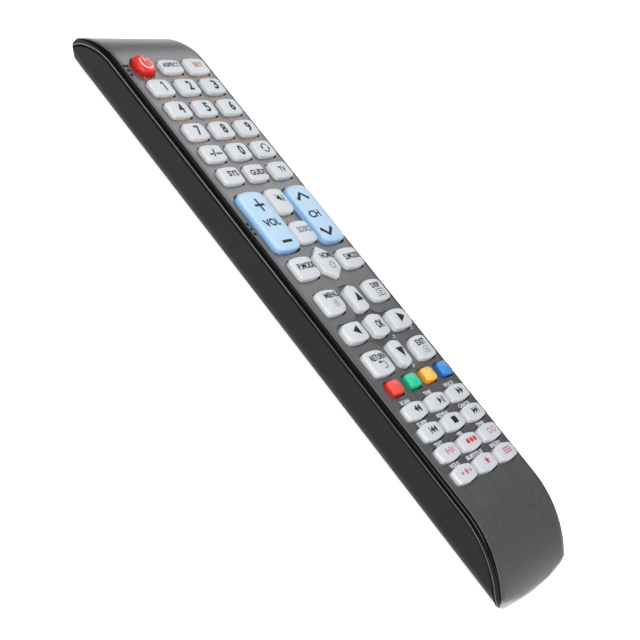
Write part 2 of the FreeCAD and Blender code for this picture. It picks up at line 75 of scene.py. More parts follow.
class Mat:
    def __init__(self, name):
        self.m = bpy.data.materials.new(name)
        self.m.use_nodes = True
        self.nt = self.m.node_tree
        self.b = self.nt.nodes["Principled BSDF"]
        self.tc = self.nt.nodes.new("ShaderNodeTexCoord")

    def node(self, kind, **kw):
        n = self.nt.nodes.new(kind)
        for k, v in kw.items():
            setattr(n, k, v)
        return n

    def link(self, a, b):
        self.nt.links.new(a, b)

    def mapped(self, scale=(1, 1, 1), rot=(0, 0, 0)):
        mp = self.node("ShaderNodeMapping")
        mp.inputs["Scale"].default_value = scale
        mp.inputs["Rotation"].default_value = rot
        self.link(self.tc.outputs["Object"], mp.inputs["Vector"])
        return mp.outputs["Vector"]

    def noise(self, scale, detail=3.0, rough=0.5, vec=None):
        n = self.node("ShaderNodeTexNoise")
        n.inputs["Scale"].default_value = scale
        n.inputs["Detail"].default_value = detail
        n.inputs["Roughness"].default_value = rough
        self.link(vec if vec is not None else self.tc.outputs["Object"], n.inputs["Vector"])
        return n.outputs["Fac"]

    def ramp(self, fac, stops):
        r = self.node("ShaderNodeValToRGB")
        el = r.color_ramp.elements
        while len(el) > 1:
            el.remove(el[-1])
        el[0].position = stops[0][0]
        el[0].color = stops[0][1]
        for p, c in stops[1:]:
            e = el.new(p)
            e.color = c
        self.link(fac, r.inputs["Fac"])
        return r.outputs["Color"]

    def maprange(self, v, a, b, c, d):
        n = self.node("ShaderNodeMapRange")
        n.inputs["From Min"].default_value = a
        n.inputs["From Max"].default_value = b
        n.inputs["To Min"].default_value = c
        n.inputs["To Max"].default_value = d
        self.link(v, n.inputs["Value"])
        return n.outputs["Result"]

    def mix(self, fac, a, b, mode="MIX"):
        n = self.node("ShaderNodeMix", data_type="RGBA", blend_type=mode)
        for s, v in ((n.inputs[0], fac), (n.inputs[6], a), (n.inputs[7], b)):
            if isinstance(v, (int, float)):
                s.default_value = v
            elif isinstance(v, tuple):
                s.default_value = v
            else:
                self.link(v, s)
        return n.outputs[2]

    def bump(self, height, strength, dist):
        n = self.node("ShaderNodeBump")
        n.inputs["Strength"].default_value = strength
        n.inputs["Distance"].default_value = dist
        self.link(height, n.inputs["Height"])
        self.link(n.outputs["Normal"], self.b.inputs["Normal"])
        return n

    def set(self, **kw):
        names = {"rough": "Roughness", "metal": "Metallic", "spec": "Specular IOR Level", "coat": "Coat Weight",
                 "coat_rough": "Coat Roughness", "color": "Base Color", "sss": "Subsurface Weight",
                 "sss_scale": "Subsurface Scale", "ior": "IOR", "trans": "Transmission Weight", "alpha": "Alpha",
                 "emit": "Emission Color", "emit_s": "Emission Strength", "aniso": "Anisotropic"}
        for k, v in kw.items():
            self.b.inputs[names[k]].default_value = v
        return self


# tone below 1 darkens the whole brushed face: painted shade for the sunk cross round the arrow keys
def mat_face(name="brushed_face", tone=1.0):
    M = Mat(name)
    M.set(metal=0.72, spec=0.4, coat=0.06, coat_rough=0.3)
    grain = M.noise(1.0, 2.0, 0.6, M.mapped((3600, 26, 3600)))
    fine = M.noise(1.0, 3.0, 0.6, M.mapped((9000, 120, 9000)))
    base = M.ramp(grain, [(0.28, srgb(116 * tone, 116 * tone, 118 * tone)), (0.72, srgb(144 * tone, 144 * tone, 147 * tone))])
    fin = M.ramp(fine, [(0.3, srgb(206, 206, 206)), (0.7, srgb(255, 255, 255))])
    c = M.mix(0.7, base, fin, "MULTIPLY")
    M.link(c, M.b.inputs["Base Color"])
    M.link(M.maprange(grain, 0.2, 0.8, 0.32, 0.42), M.b.inputs["Roughness"])
    M.bump(grain, 0.12, 0.00004)
    return M.m


def mat_gloss():
    M = Mat("gloss_black")
    M.set(color=srgb(5, 5, 6), spec=0.16, coat=0.06, coat_rough=0.05)
    n = M.noise(900, 2.0)
    M.link(M.ramp(n, [(0.3, srgb(4, 4, 5)), (0.7, srgb(8, 8, 9))]), M.b.inputs["Base Color"])
    M.link(M.maprange(n, 0.3, 0.7, 0.10, 0.18), M.b.inputs["Roughness"])
    M.bump(M.noise(350, 2.0), 0.04, 0.00004)
    return M.m


def mat_charcoal(name="charcoal", rgb=(14, 14, 14), spec=0.18):
    M = Mat(name)
    M.set(spec=spec)
    sp = M.noise(5200, 3.0, 0.7)
    lo = tuple(max(0, v - 5) for v in rgb)
    hi = tuple(v + 6 for v in rgb)
    c = M.ramp(sp, [(0.3, srgb(*lo)), (0.7, srgb(*hi))])
    M.link(c, M.b.inputs["Base Color"])
    M.link(M.maprange(M.noise(120, 3.0), 0.3, 0.7, 0.42, 0.52), M.b.inputs["Roughness"])
    M.bump(sp, 0.16, 0.00003)
    return M.m


def mat_rubber_painted_wall_shade(name, top, side, rough=(0.34, 0.44), sss=0.12, coat=0.15, speck=0.5):
    """Lacquered silicone: the top is as printed; the walls take a second colour by which way they face, painted
    shading.
    """
    M = Mat(name)
    M.set(spec=0.4, coat=coat, coat_rough=0.28, sss=sss, sss_scale=0.0022)
    M.b.inputs["Subsurface Radius"].default_value = (1.0, 1.0, 1.0)
    # walls take the side colour and tops the top colour by the height of the normal: painted shading
    geo = M.node("ShaderNodeNewGeometry")
    sep = M.node("ShaderNodeSeparateXYZ")
    M.link(geo.outputs["Normal"], sep.inputs[0])
    f = M.ramp(M.maprange(sep.outputs["Z"], 0.0, 1.0, 0.0, 1.0), [(0.0, srgb(*side)), (0.45, srgb(*side)), (0.90, srgb(*top)), (1.0, srgb(*top))])
    sp = M.noise(2600, 3.0, 0.6)
    sh = M.ramp(sp, [(0.3, srgb(240, 240, 241)), (0.7, srgb(255, 255, 255))])
    c = M.mix(speck, f, sh, "MULTIPLY")
    M.link(c, M.b.inputs["Base Color"])
    M.link(M.maprange(M.noise(420, 3.0), 0.3, 0.7, rough[0], rough[1]), M.b.inputs["Roughness"])
    M.bump(sp, 0.10, 0.00003)
    return M.m


def mat_ink(name, rgb, rough=0.5):
    M = Mat(name)
    n = M.noise(3000, 3.0)
    c = M.ramp(n, [(0.3, srgb(*[max(0, v - 10) for v in rgb])), (0.7, srgb(*[min(255, v + 6) for v in rgb]))])
    M.link(c, M.b.inputs["Base Color"])
    M.set(spec=0.3, rough=rough)
    return M.m


def mat_metal(name, rgb, r0=0.22, r1=0.36, scale=2500):
    M = Mat(name)
    M.set(metal=1.0)
    n = M.noise(1.0, 3.0, 0.6, M.mapped((scale, scale * 0.1, scale)))
    c = M.ramp(n, [(0.3, srgb(*[max(0, v - 18) for v in rgb])), (0.7, srgb(*rgb))])
    M.link(c, M.b.inputs["Base Color"])
    M.link(M.maprange(n, 0.3, 0.7, r0, r1), M.b.inputs["Roughness"])
    M.bump(n, 0.08, 0.00003)
    return M.m


def mat_board():
    M = Mat("board")
    M.set(spec=0.5, coat=0.4, coat_rough=0.12)
    n = M.node("ShaderNodeTexVoronoi", feature="DISTANCE_TO_EDGE")
    n.inputs["Scale"].default_value = 420
    M.link(M.tc.outputs["Object"], n.inputs["Vector"])
    c = M.ramp(n.outputs["Distance"], [(0.0, srgb(70, 130, 72)), (0.06, srgb(70, 130, 72)), (0.09, srgb(24, 78, 38)), (1.0, srgb(22, 70, 34))])
    M.link(c, M.b.inputs["Base Color"])
    M.link(M.maprange(M.noise(500, 2.0), 0.3, 0.7, 0.28, 0.4), M.b.inputs["Roughness"])
    M.bump(n.outputs["Distance"], 0.1, 0.00004)
    return M.m


def mat_cell():
    M = Mat("cell_jacket")
    M.set(spec=0.5, metal=0.35, coat=0.4, coat_rough=0.12)
    sep = M.node("ShaderNodeSeparateXYZ")
    M.link(M.tc.outputs["Object"], sep.inputs[0])
    t = M.maprange(sep.outputs["Y"], -0.081, -0.0365, 0.0, 1.0)
    c = M.ramp(t, [(0.0, srgb(200, 200, 198)), (0.03, srgb(200, 200, 198)), (0.035, srgb(24, 26, 30)), (0.64, srgb(26, 28, 33)),
                   (0.645, srgb(188, 122, 52)), (0.955, srgb(196, 128, 56)), (0.96, srgb(210, 210, 206)), (1.0, srgb(210, 210, 206))])
    M.link(c, M.b.inputs["Base Color"])
    M.link(M.maprange(M.noise(300, 3.0), 0.3, 0.7, 0.22, 0.34), M.b.inputs["Roughness"])
    M.bump(M.noise(900, 2.0), 0.05, 0.00003)
    return M.m


def mat_lens():
    M = Mat("emitter_lens")
    M.set(color=srgb(96, 84, 120), spec=0.5, coat=0.5, coat_rough=0.04)
    n = M.noise(700, 2.0)
    M.link(M.ramp(n, [(0.3, srgb(70, 62, 92)), (0.7, srgb(92, 84, 116))]), M.b.inputs["Base Color"])
    M.link(M.maprange(n, 0.3, 0.7, 0.06, 0.12), M.b.inputs["Roughness"])
    M.bump(n, 0.03, 0.00003)
    return M.m


MAT = {
    # the darker brushed face is painted shade for the floor and walls of the sunk cross
    "face": mat_face(), "face_painted_shade": mat_face("brushed_face_sunk_painted_shade", 0.86), "gloss": mat_gloss(), "charcoal": mat_charcoal(), "cover": mat_charcoal("charcoal_cover", (13, 13, 13)),
    # the mid-grey bead material is a painted highlight line on the glossy black rim
    # the near-black parting material is painted shade in the seam between the two shells
    "painted_bead_highlight": mat_charcoal("rim_bead_painted_highlight", (104, 104, 106), 0.3), "gap": mat_ink("parting_gap", (10, 10, 11), 0.6),
    # the second colour of each rubber is painted shading of its walls: lighter walls on the white keys, darker walls on
    # the coloured ones
    "white": mat_rubber_painted_wall_shade("white_rubber", (220, 225, 232), (234, 235, 236), sss=0.35),
    "pale_blue": mat_rubber_painted_wall_shade("pale_blue_rubber", (194, 224, 253), (164, 206, 251), sss=0.3),
    "power": mat_rubber_painted_wall_shade("power_rubber", (240, 40, 28), (205, 12, 6), coat=0.35),
    "red": mat_rubber_painted_wall_shade("red_rubber", (252, 90, 80), (222, 44, 36)),
    "green": mat_rubber_painted_wall_shade("green_rubber", (54, 216, 164), (22, 166, 112)),
    "yellow": mat_rubber_painted_wall_shade("yellow_rubber", (255, 212, 104), (238, 160, 40)),
    "blue": mat_rubber_painted_wall_shade("blue_rubber", (74, 152, 230), (34, 104, 190)),
    "membrane": mat_rubber_painted_wall_shade("membrane", (70, 71, 74), (60, 61, 64)),
    "board": mat_board(), "cell": mat_cell(), "contact": mat_metal("contact_metal", (214, 212, 206)),
    "screw": mat_metal("screw_steel", (96, 96, 98)), "lens": mat_lens(),
    "ink": mat_ink("ink_black", (24, 25, 30)), "ink_red": mat_ink("ink_red", (226, 52, 60)),
    "ink_rose": mat_ink("ink_rose", (206, 128, 124)), "ink_dusk": mat_ink("ink_dusk", (184, 142, 130)), "ink_white": mat_ink("ink_white", (226, 228, 232)),
    # near-black for the walls of the key openings is painted shade in the gaps round the keys; the raised dots use it
    # too
    "ink_grey": mat_ink("ink_grey", (112, 114, 120)), "hole": mat_ink("hole_black", (8, 8, 9), 0.7),
}
for n, m in (("keypad_mat", "membrane"), ("circuit_board", "board"), ("ir_emitter", "lens"), ("battery_cells", "cell"),
             ("battery_contacts", "contact"), ("case_screws", "screw")):
    o = NODES[n]
    o.data.materials.clear()
    o.data.materials.append(MAT[m])
    bm = bmesh.new()
    bm.from_mesh(o.data)
    flat = [q for q in bm.faces if q.calc_area() < 1e-12]
    if flat:
        bmesh.ops.delete(bm, geom=flat, context="FACES_ONLY")
        bm.to_mesh(o.data)
    bm.free()


# ---------------------------------------------------------------------------
# mesh helpers
# ---------------------------------------------------------------------------
def make_obj(name, verts, faces, mats, body, replaces=(), mat_idx=None, smooth=True, angle=35.0):
    me = bpy.data.meshes.new(name)
    me.from_pydata([Vector(v) * MM for v in verts], [], faces)
    for m in mats:
        me.materials.append(m)
    if mat_idx is not None:
        me.polygons.foreach_set("material_index", mat_idx)
    bm = bmesh.new()
    bm.from_mesh(me)
    bmesh.ops.remove_doubles(bm, verts=bm.verts, dist=1e-7)
    bmesh.ops.dissolve_degenerate(bm, edges=bm.edges, dist=1e-8)
    bmesh.ops.recalc_face_normals(bm, faces=bm.faces)
    bm.to_mesh(me)
    bm.free()
    o = bpy.data.objects.new(name, me)
    COL.objects.link(o)
    if smooth:
        smooth_by_angle(me, angle)
    if body:
        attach(o, body)
    if replaces:
        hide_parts(*replaces)
    return o


def smooth_by_angle(me, deg):
    me.shade_smooth()
    me.set_sharp_from_angle(angle=math.radians(deg))


def boolean(o, cutter, op="DIFFERENCE"):
    md = o.modifiers.new("b", "BOOLEAN")
    md.operation = op
    md.solver = "EXACT"
    md.object = cutter
    bpy.context.view_layer.update()
    dg = bpy.context.evaluated_depsgraph_get()
    me = bpy.data.meshes.new_from_object(o.evaluated_get(dg))
    o.modifiers.clear()
    old = o.data
    o.data = me
    bpy.data.meshes.remove(old)


def temp_obj(name, verts, faces):
    me = bpy.data.meshes.new(name)
    me.from_pydata([Vector(v) * MM for v in verts], [], faces)
    bm = bmesh.new()
    bm.from_mesh(me)
    bmesh.ops.recalc_face_normals(bm, faces=bm.faces)
    bm.to_mesh(me)
    bm.free()
    o = bpy.data.objects.new(name, me)
    COL.objects.link(o)
    return o


def drop(o):
    me = o.data
    bpy.data.objects.remove(o)
    bpy.data.meshes.remove(me)


def grid_solid(rows, close_loop=True):
    """rows: list of closed rings with equal counts. Returns verts, faces of a capped tube."""
    n = len(rows[0])
    verts = [p for r in rows for p in r]
    faces = []
    for i in range(len(rows) - 1):
        for j in range(n):
            k = (j + 1) % n
            faces.append((i * n + j, i * n + k, (i + 1) * n + k, (i + 1) * n + j))
    faces.append(tuple(range(n - 1, -1, -1)))
    faces.append(tuple((len(rows) - 1) * n + j for j in range(n)))
    return verts, faces


# the arch of the face, as points with normals: list of (y, z, ny, nz)
def arch(near_stop=-90.0, far_stop=90.0, fine=1.0):
    out = []

    def add(cy, cz, r, ang):
        out.append((cy + r * math.sin(ang), cz + r * math.cos(ang), math.sin(ang), math.cos(ang)))
    n1 = int(10 * fine)
    a0 = math.radians(near_stop)
    for i in range(n1):
        add(NNY, NNZ, NEAR_N, a0 + (-NEAR_A - a0) * i / n1)
    n2 = int(34 * fine)
    for i in range(n2):
        add(NYC, NZC, NEAR_R, -NEAR_A * (1 - i / n2))
    add(NYC, NZC, NEAR_R, 0.0)
    y0, y1 = NYC, FYC
    n3 = 24
    for i in range(1, n3):
        out.append((y0 + (y1 - y0) * i / n3, ZF, 0.0, 1.0))
    n4 = int(22 * fine)
    for i in range(n4 + 1):
        add(FYC, FZC, FAR_R, FAR_A * i / n4)
    a1 = math.radians(far_stop)
    n5 = int(18 * fine)
    for i in range(1, n5 + 1):
        add(FNY, FNZ, FAR_N, FAR_A + (a1 - FAR_A) * i / n5)
    return out


C_R, C_X, C_Z, C_A = 5.0, 19.0, 8.55, math.radians(66.0)
Z_TOP = BODY_H - 2.46


def side(z, t=0.0):
    """Half width of the body at height z, set in by t."""
    r = C_R - t
    heel_x, heel_z = C_X + r * math.cos(C_A), C_Z - r * math.sin(C_A)
    if z >= C_Z:
        return C_X + r + (RIM_HW - C_X - C_R) * min((z - C_Z) / (16.1 - C_Z), 1.0)
    if z > heel_z:
        return C_X + math.sqrt(max(r * r - (C_Z - z) ** 2, 0.0))
    return max(heel_x - (heel_z - z) / math.tan(math.radians(24.0)), 0.5)


def tongue(z):
    """Half width of the face plate at height z: it draws in where the tips come down."""
    if z >= C_Z:
        return PLATE_HW
    d = min(C_Z - z, 5.39)
    return PLATE_HW - 5.4 + math.sqrt(5.4 ** 2 - d * d)


def tip(x, r=3.2):
    """Reach of the body in plan at half width x: bowed ends with corners rounded by r."""
    x = abs(x)
    xc = RIM_HW - r
    yc = HALF_L - TIP_BOW * (xc / 21.5) ** 2
    if x <= xc:
        return HALF_L - TIP_BOW * (x / 21.5) ** 2
    return yc - r + math.sqrt(max(r * r - (x - xc) ** 2, 0.0))


def corner(y, z):
    """Corner radius in plan: at the emitter end the corners are crisp at the rim and drawn in further down."""
    if y <= 0:
        return 4.6
    return 1.6 + min(max(8.8 - z, 0.0), 4.2) * 2.6


def nose(y):
    """The near end reaches out a little more than the plain arcs give."""
    return y - 0.9 * min(max((-92.0 - y) / 27.0, 0.0), 1.0) ** 2


def circ_z(y, y0, z0, ym, zm, y1, z1):
    """Height at y on the lower side of the circle through three points."""
    d = 2 * (y0 * (zm - z1) + ym * (z1 - z0) + y1 * (z0 - zm))
    a, b, c = y0 * y0 + z0 * z0, ym * ym + zm * zm, y1 * y1 + z1 * z1
    ux = (a * (zm - z1) + b * (z1 - z0) + c * (z0 - zm)) / d
    uy = (a * (y1 - ym) + b * (y0 - y1) + c * (ym - y0)) / d
    r = math.hypot(y0 - ux, z0 - uy)
    return uy + math.copysign(math.sqrt(max(r * r - (y - ux) ** 2, 0.0)), zm - uy)


FAR_BELLY = (119.7, 8.0, 117.4, 3.2, 107.0, 0.0)


def far_reach(z):
    """How far out the rounded belly lets the emitter end go at height z."""
    if z >= 8.0:
        return 119.7
    lo_, hi_ = 107.0, 119.7
    for _ in range(26):
        mid = (lo_ + hi_) / 2
        if circ_z(mid, *FAR_BELLY) > z:
            hi_ = mid
        else:
            lo_ = mid
    return lo_


def belly(y):
    if y < -112.0:
        return max(circ_z(max(y, -119.7), -119.7, 3.3, -117.2, 1.15, -112.0, 0.0), 0.0)
    if y > 107.0:
        return max(circ_z(min(y, 119.7), *FAR_BELLY), 0.0)
    return 0.0


def warp(x, y, z):
    """Fits a swept point to the side outline, the plan outline and the raised ends of the belly."""
    if y > 0:
        y = min(y, far_reach(z))
    else:
        z = max(z, belly(y))
    t, w = tongue(z), side(z)
    ax = abs(x)
    if ax <= PLATE_HW:
        x2 = ax * t / PLATE_HW
    else:
        x2 = t + (ax - PLATE_HW) / (RIM_HW - PLATE_HW) * (w - t)
    x2 = math.copysign(x2, x)
    lim = tip(x2, corner(y, z))
    return (x2, nose(max(-lim, min(lim, y))), z)


# ---------------------------------------------------------------------------
# key table: name, x, y, width, depth, height, corner radii, bulge far, near, kind
# ---------------------------------------------------------------------------
P = 14.1
KEY_DX = 0.7             # the whole key field sits slightly right of the centre line
NUM = (10.5, 7.0, 1.8, (1.7, 1.7, 1.7, 1.7), 0.25, 0.25)
MED = (11.8, 5.2, 1.7, (1.4, 1.4, 1.4, 1.4), 0.55, 0.55)
KEYS = {}


def key(name, x, y, spec, kind="slide"):
    KEYS[name] = (x + KEY_DX, y) + spec + (kind,)


key("power_key", -14.4, 95.3, (9.4, 9.4, 3.0, None, 0, 0))
key("aspect_key", -0.3, 94.9, (10.8, 6.1, 1.7, (1.7, 1.7, 1.7, 1.7), 0.25, 0.25))
key("set_key", 13.8, 94.9, (11.2, 7.1, 1.7, (1.7, 1.7, 1.7, 1.7), 0.25, 0.25))
ROW = [85.1, 74.8, 64.6, 54.5, 44.4]
GRID = [["digit_1_key", "digit_2_key", "digit_3_key"], ["digit_4_key", "digit_5_key", "digit_6_key"],
        ["digit_7_key", "digit_8_key", "digit_9_key"], ["dash_key", "digit_0_key", "swap_key"],
        ["system_key", "guide_key", "tv_key"]]
for ry, names in zip(ROW, GRID):
    for ix, n in zip((-1, 0, 1), names):
        key(n, ix * P + 0.1, ry, NUM)
LONG = (13.3, 25.2, 2.6, (3.1, 3.1, 3.1, 3.1), 0.35, 0.35)
key("volume_rocker", -13.4, 23.9, (14.0,) + LONG[1:], "rock")
key("channel_rocker", 13.6, 23.9, LONG, "rock")
key("mute_key", 0.45, 31.3, (9.4, 10.6, 1.8, (2.0, 2.0, 2.9, 2.9), 0.25, 0.15))
key("source_key", 0.2, 17.5, (10.2, 8.9, 1.8, (2.0, 2.0, 2.2, 2.2), 0.25, 0.25))
key("picture_mode_key", -13.6, 3.6, (11.6, 8.5, 1.9, (1.9, 1.9, 1.9, 1.9), 0.3, 0.3))
key("home_key", 0.0, 4.0, (10.2, 13.7, 1.9, "hex", 0, 0))
key("sound_mode_key", 13.9, 3.7, (11.5, 7.9, 1.9, (1.9, 1.9, 1.9, 1.9), 0.3, 0.3))
key("menu_key", -13.6, -11.0, (11.5, 9.2, 1.9, (1.7, 1.7, 3.6, 1.7), 0.4, 0.2))
key("up_key", 0.0, -12.0, (7.1, 10.0, 2.1, (2.2, 2.2, 1.7, 1.7), 0.5, 0.3))
key("display_key", 13.9, -10.9, (10.9, 8.5, 1.9, (1.7, 1.7, 1.7, 3.6), 0.4, 0.2))
key("left_key", -14.0, -23.6, (11.3, 7.2, 2.1, (2.8, 1.6, 1.6, 2.4), 0.3, 0.3))
key("ok_key", 0.0, -23.5, (9.2, 7.8, 2.1, (1.5, 1.5, 1.5, 1.5), 0.6, 0.6))
key("right_key", 13.95, -23.6, (11.4, 7.4, 2.1, (1.6, 2.8, 2.4, 1.6), 0.3, 0.3))
key("return_key", -13.6, -36.1, (11.7, 9.1, 1.9, (1.7, 3.6, 1.7, 1.7), 0.2, 0.4))
key("down_key", 0.1, -35.4, (7.2, 9.7, 2.1, (1.7, 1.7, 2.2, 2.2), 0.3, 0.5))
key("exit_key", 13.9, -36.0, (11.0, 8.8, 1.9, (3.6, 1.7, 1.7, 1.7), 0.2, 0.4))
for n, kx in (("red_key", -14.8), ("green_key", -3.85), ("yellow_key", 6.55), ("blue_key", 17.25)):
    key(n, kx, -45.8, (7.3, 5.6, 2.2, (1.6, 1.6, 1.6, 1.6), 0.1, 0.1))
MROWS = [-55.4, -63.7, -72.0, -80.3]
MGRID = [["rewind_key", "play_key", "forward_key"], ["previous_key", "stop_key", "next_key"],
         ["app_1_key", "app_2_key", "app_3_key"], ["app_4_key", "app_5_key", "app_6_key"]]
for ry, names in zip(MROWS, MGRID):
    for ix, n in zip((-1, 0, 1), names):
        key(n, ix * P, ry, MED)


def arc3(p, m, q, n):
    """n points from p (included) to q (left out) on the arc through m."""
    ax, ay, bx, by, cx, cy = p[0], p[1], m[0], m[1], q[0], q[1]
    d = 2 * (ax * (by - cy) + bx * (cy - ay) + cx * (ay - by))
    if abs(d) < 1e-9:
        return [(ax + (cx - ax) * i / n, ay + (cy - ay) * i / n) for i in range(n)]
    ux = ((ax * ax + ay * ay) * (by - cy) + (bx * bx + by * by) * (cy - ay) + (cx * cx + cy * cy) * (ay - by)) / d
    uy = ((ax * ax + ay * ay) * (cx - bx) + (bx * bx + by * by) * (ax - cx) + (cx * cx + cy * cy) * (bx - ax)) / d
    r = math.hypot(ax - ux, ay - uy)
    a0, am, a1 = (math.atan2(v - uy, u - ux) for u, v in (p, m, q))
    def norm(a, ref):
        while a - ref > math.pi:
            a -= 2 * math.pi
        while a - ref < -math.pi:
            a += 2 * math.pi
        return a
    am = norm(am, a0)
    a1 = norm(a1, am)
    return [(ux + r * math.cos(a0 + (a1 - a0) * i / n), uy + r * math.sin(a0 + (a1 - a0) * i / n)) for i in range(n)]


def outline(w, d, rs, bf, bn, grow=0.0, sq=0.0, seg=7, edge=10, side=6):
    """Key outline round its own centre, going clockwise seen from above. sq takes from the corner radii."""
    w, d = w + 2 * grow, d + 2 * grow
    if rs is None:
        n = 64
        return [(w / 2 * math.cos(-2 * math.pi * i / n + math.pi), w / 2 * math.sin(-2 * math.pi * i / n + math.pi)) for i in range(n)]
    if rs == "hex":
        s = 3.3
        pts = [(0, d / 2), (w / 2, s), (w / 2, -s), (0, -d / 2), (-w / 2, -s), (-w / 2, s)]
        r = 0.5 if sq == 0 else 0.2
        out = []
        m = len(pts)
        for i in range(m):
            a, b, c = pts[i - 1], pts[i], pts[(i + 1) % m]
            va = Vector((a[0] - b[0], a[1] - b[1])).normalized()
            vc = Vector((c[0] - b[0], c[1] - b[1])).normalized()
            half = va.angle(vc) / 2
            t = r / math.tan(half)
            p = (b[0] + va.x * t, b[1] + va.y * t)
            q = (b[0] + vc.x * t, b[1] + vc.y * t)
            bis = (va + vc).normalized()
            cc = (b[0] + bis.x * r / math.sin(half), b[1] + bis.y * r / math.sin(half))
            mid = (cc[0] - bis.x * r, cc[1] - bis.y * r)
            out += arc3(p, mid, q, 5) + [q]
            nx = pts[(i + 1) % m]
            vb = Vector((b[0] - nx[0], b[1] - nx[1])).normalized()
            q2 = (nx[0] + vb.x * t, nx[1] + vb.y * t)
            for k in range(1, 6):
                out.append((q[0] + (q2[0] - q[0]) * k / 6, q[1] + (q2[1] - q[1]) * k / 6))
        return out
    less = sq if isinstance(sq, tuple) else (sq,) * 4
    r = [(max(q - t, 0.6) if t else q) + grow for q, t in zip(rs, less)]
    X, Y = w / 2, d / 2
    k = 1 - math.sqrt(0.5)
    a = [(-X, Y - r[0]), (-X + r[0], Y), (X - r[1], Y), (X, Y - r[1]),
         (X, -Y + r[2]), (X - r[2], -Y), (-X + r[3], -Y), (-X, -Y + r[3])]
    m = [(-X + k * r[0], Y - k * r[0]), ((a[1][0] + a[2][0]) / 2, Y + bf), (X - k * r[1], Y - k * r[1]), None,
         (X - k * r[2], -Y + k * r[2]), ((a[5][0] + a[6][0]) / 2, -Y - bn), (-X + k * r[3], -Y + k * r[3]), None]
    out = []
    for i in range(8):
        p, q = a[i], a[(i + 1) % 8]
        if m[i] is None:
            out += [(p[0] + (q[0] - p[0]) * j / side, p[1] + (q[1] - p[1]) * j / side) for j in range(side)]
        else:
            out += arc3(p, m[i], q, edge if i in (1, 5) else seg)
    return out


def inset(pts, delta):
    """Moves an outline inwards by delta along its own normals (outline is clockwise)."""
    n = len(pts)
    out = []
    for i in range(n):
        a, b = pts[i - 1], pts[(i + 1) % n]
        tx, ty = b[0] - a[0], b[1] - a[1]
        L = math.hypot(tx, ty) or 1.0
        # clockwise: inward is to the right of travel
        out.append((pts[i][0] + ty / L * delta, pts[i][1] - tx / L * delta))
    return out


KEY_LOOK = {}
for n in KEYS:
    KEY_LOOK[n] = dict(mat="white", rr=0.5, dome=0.30, draft=0.06)
for n in ("volume_rocker", "channel_rocker"):
    KEY_LOOK[n] = dict(mat="pale_blue", rr=1.1, dome=0.55, draft=0.05, pillow=True)
KEY_LOOK["power_key"] = dict(mat="power", rr=1.3, dome=0.45, draft=0.10, pillow=True)
for n in ("red", "green", "yellow", "blue"):
    KEY_LOOK[n + "_key"] = dict(mat=n, rr=1.2, dome=0.5, draft=0.05, pillow=True)
for r in MGRID:
    for n in r:
        KEY_LOOK[n] = dict(mat="white", rr=0.5, dome=0.32, draft=0.06)
for n in ("up_key", "down_key", "left_key", "right_key", "ok_key", "menu_key", "display_key", "return_key", "exit_key", "home_key"):
    KEY_LOOK[n].update(rr=0.55, dome=0.40)

TOPS = {}


def build_key(name):
    x0, y0, w, d, h, rs, bf, bn, kind = KEYS[name]
    L = KEY_LOOK[name]
    rr, dome, draft = L["rr"], L["dome"], L["draft"]
    zt, zb = (15.9, 15.0) if kind == "slide" else (15.3, 14.6)
    soft = L.get("pillow", False)
    fine = dict(seg=12, edge=16, side=10) if soft else {}
    base = outline(w, d, rs, bf, bn, **fine)
    flange = outline(w, d, rs, bf, bn, grow=0.6, **fine)

    def drawn_in(amount):
        if not soft:
            return inset(base, amount)
        fx, fy = 1 - amount / (w / 2), 1 - amount / (d / 2)
        return [(p[0] * fx, p[1] * fy) for p in base]
    n = len(base)
    z_edge = ZF + h - dome
    rows = [[(x0 + p[0], y0 + p[1], zb) for p in flange],
            [(x0 + p[0], y0 + p[1], zt) for p in flange],
            [(x0 + p[0], y0 + p[1], zt) for p in base],
            [(x0 + p[0], y0 + p[1], ZF - 0.2) for p in base]]
    wall_top = z_edge - rr
    for k in range(1, 4):
        q = drawn_in(draft * k / 3)
        rows.append([(x0 + p[0], y0 + p[1], ZF - 0.2 + (wall_top - ZF + 0.2) * k / 3) for p in q])
    steps = 12 if soft else 7
    for k in range(1, steps + 1):
        f = math.pi / 2 * k / steps * 0.93
        q = drawn_in(draft + rr * (1 - math.cos(f)))
        rows.append([(x0 + p[0], y0 + p[1], wall_top + rr * math.sin(f)) for p in q])
    last = [(p[0] - x0, p[1] - y0) for p in rows[-1]]
    zl = rows[-1][0][2]
    for t in (0.93, 0.84, 0.72, 0.56, 0.38, 0.19):
        rows.append([(x0 + p[0] * t, y0 + p[1] * t, zl + (ZF + h - zl) * (1 - t * t)) for p in last])
    verts = [p for r in rows for p in r]
    faces = []
    for i in range(len(rows) - 1):
        for j in range(n):
            k = (j + 1) % n
            faces.append((i * n + j, i * n + k, (i + 1) * n + k, (i + 1) * n + j))
    faces.append(tuple(range(n)))
    c = len(verts)
    verts.append((x0, y0, ZF + h))
    b = (len(rows) - 1) * n
    for j in range(n):
        faces.append((b + j, b + (j + 1) % n, c))
    o = make_obj("cap_" + name, verts, faces, [MAT[L["mat"]]], name, (name,), angle=50)
    me = o.data
    TOPS[name] = BVHTree.FromPolygons([v.co.copy() for v in me.vertices], [tuple(p.vertices) for p in me.polygons])
    return o


for n in KEYS:
    build_key(n)


# ---------------------------------------------------------------------------
# housing
# ---------------------------------------------------------------------------
def sweep(section_pts, stations, flip=False):
    """section_pts: closed list of (x, depth) in order; depth is measured inward from the face."""
    rows = []
    for (y, z, ny, nz) in stations:
        r = []
        for (x, dpt) in section_pts:
            yy, zz = y - ny * dpt, z - nz * dpt
            r.append(warp(x, yy, zz))
        rows.append(r)
    return grid_solid(rows)


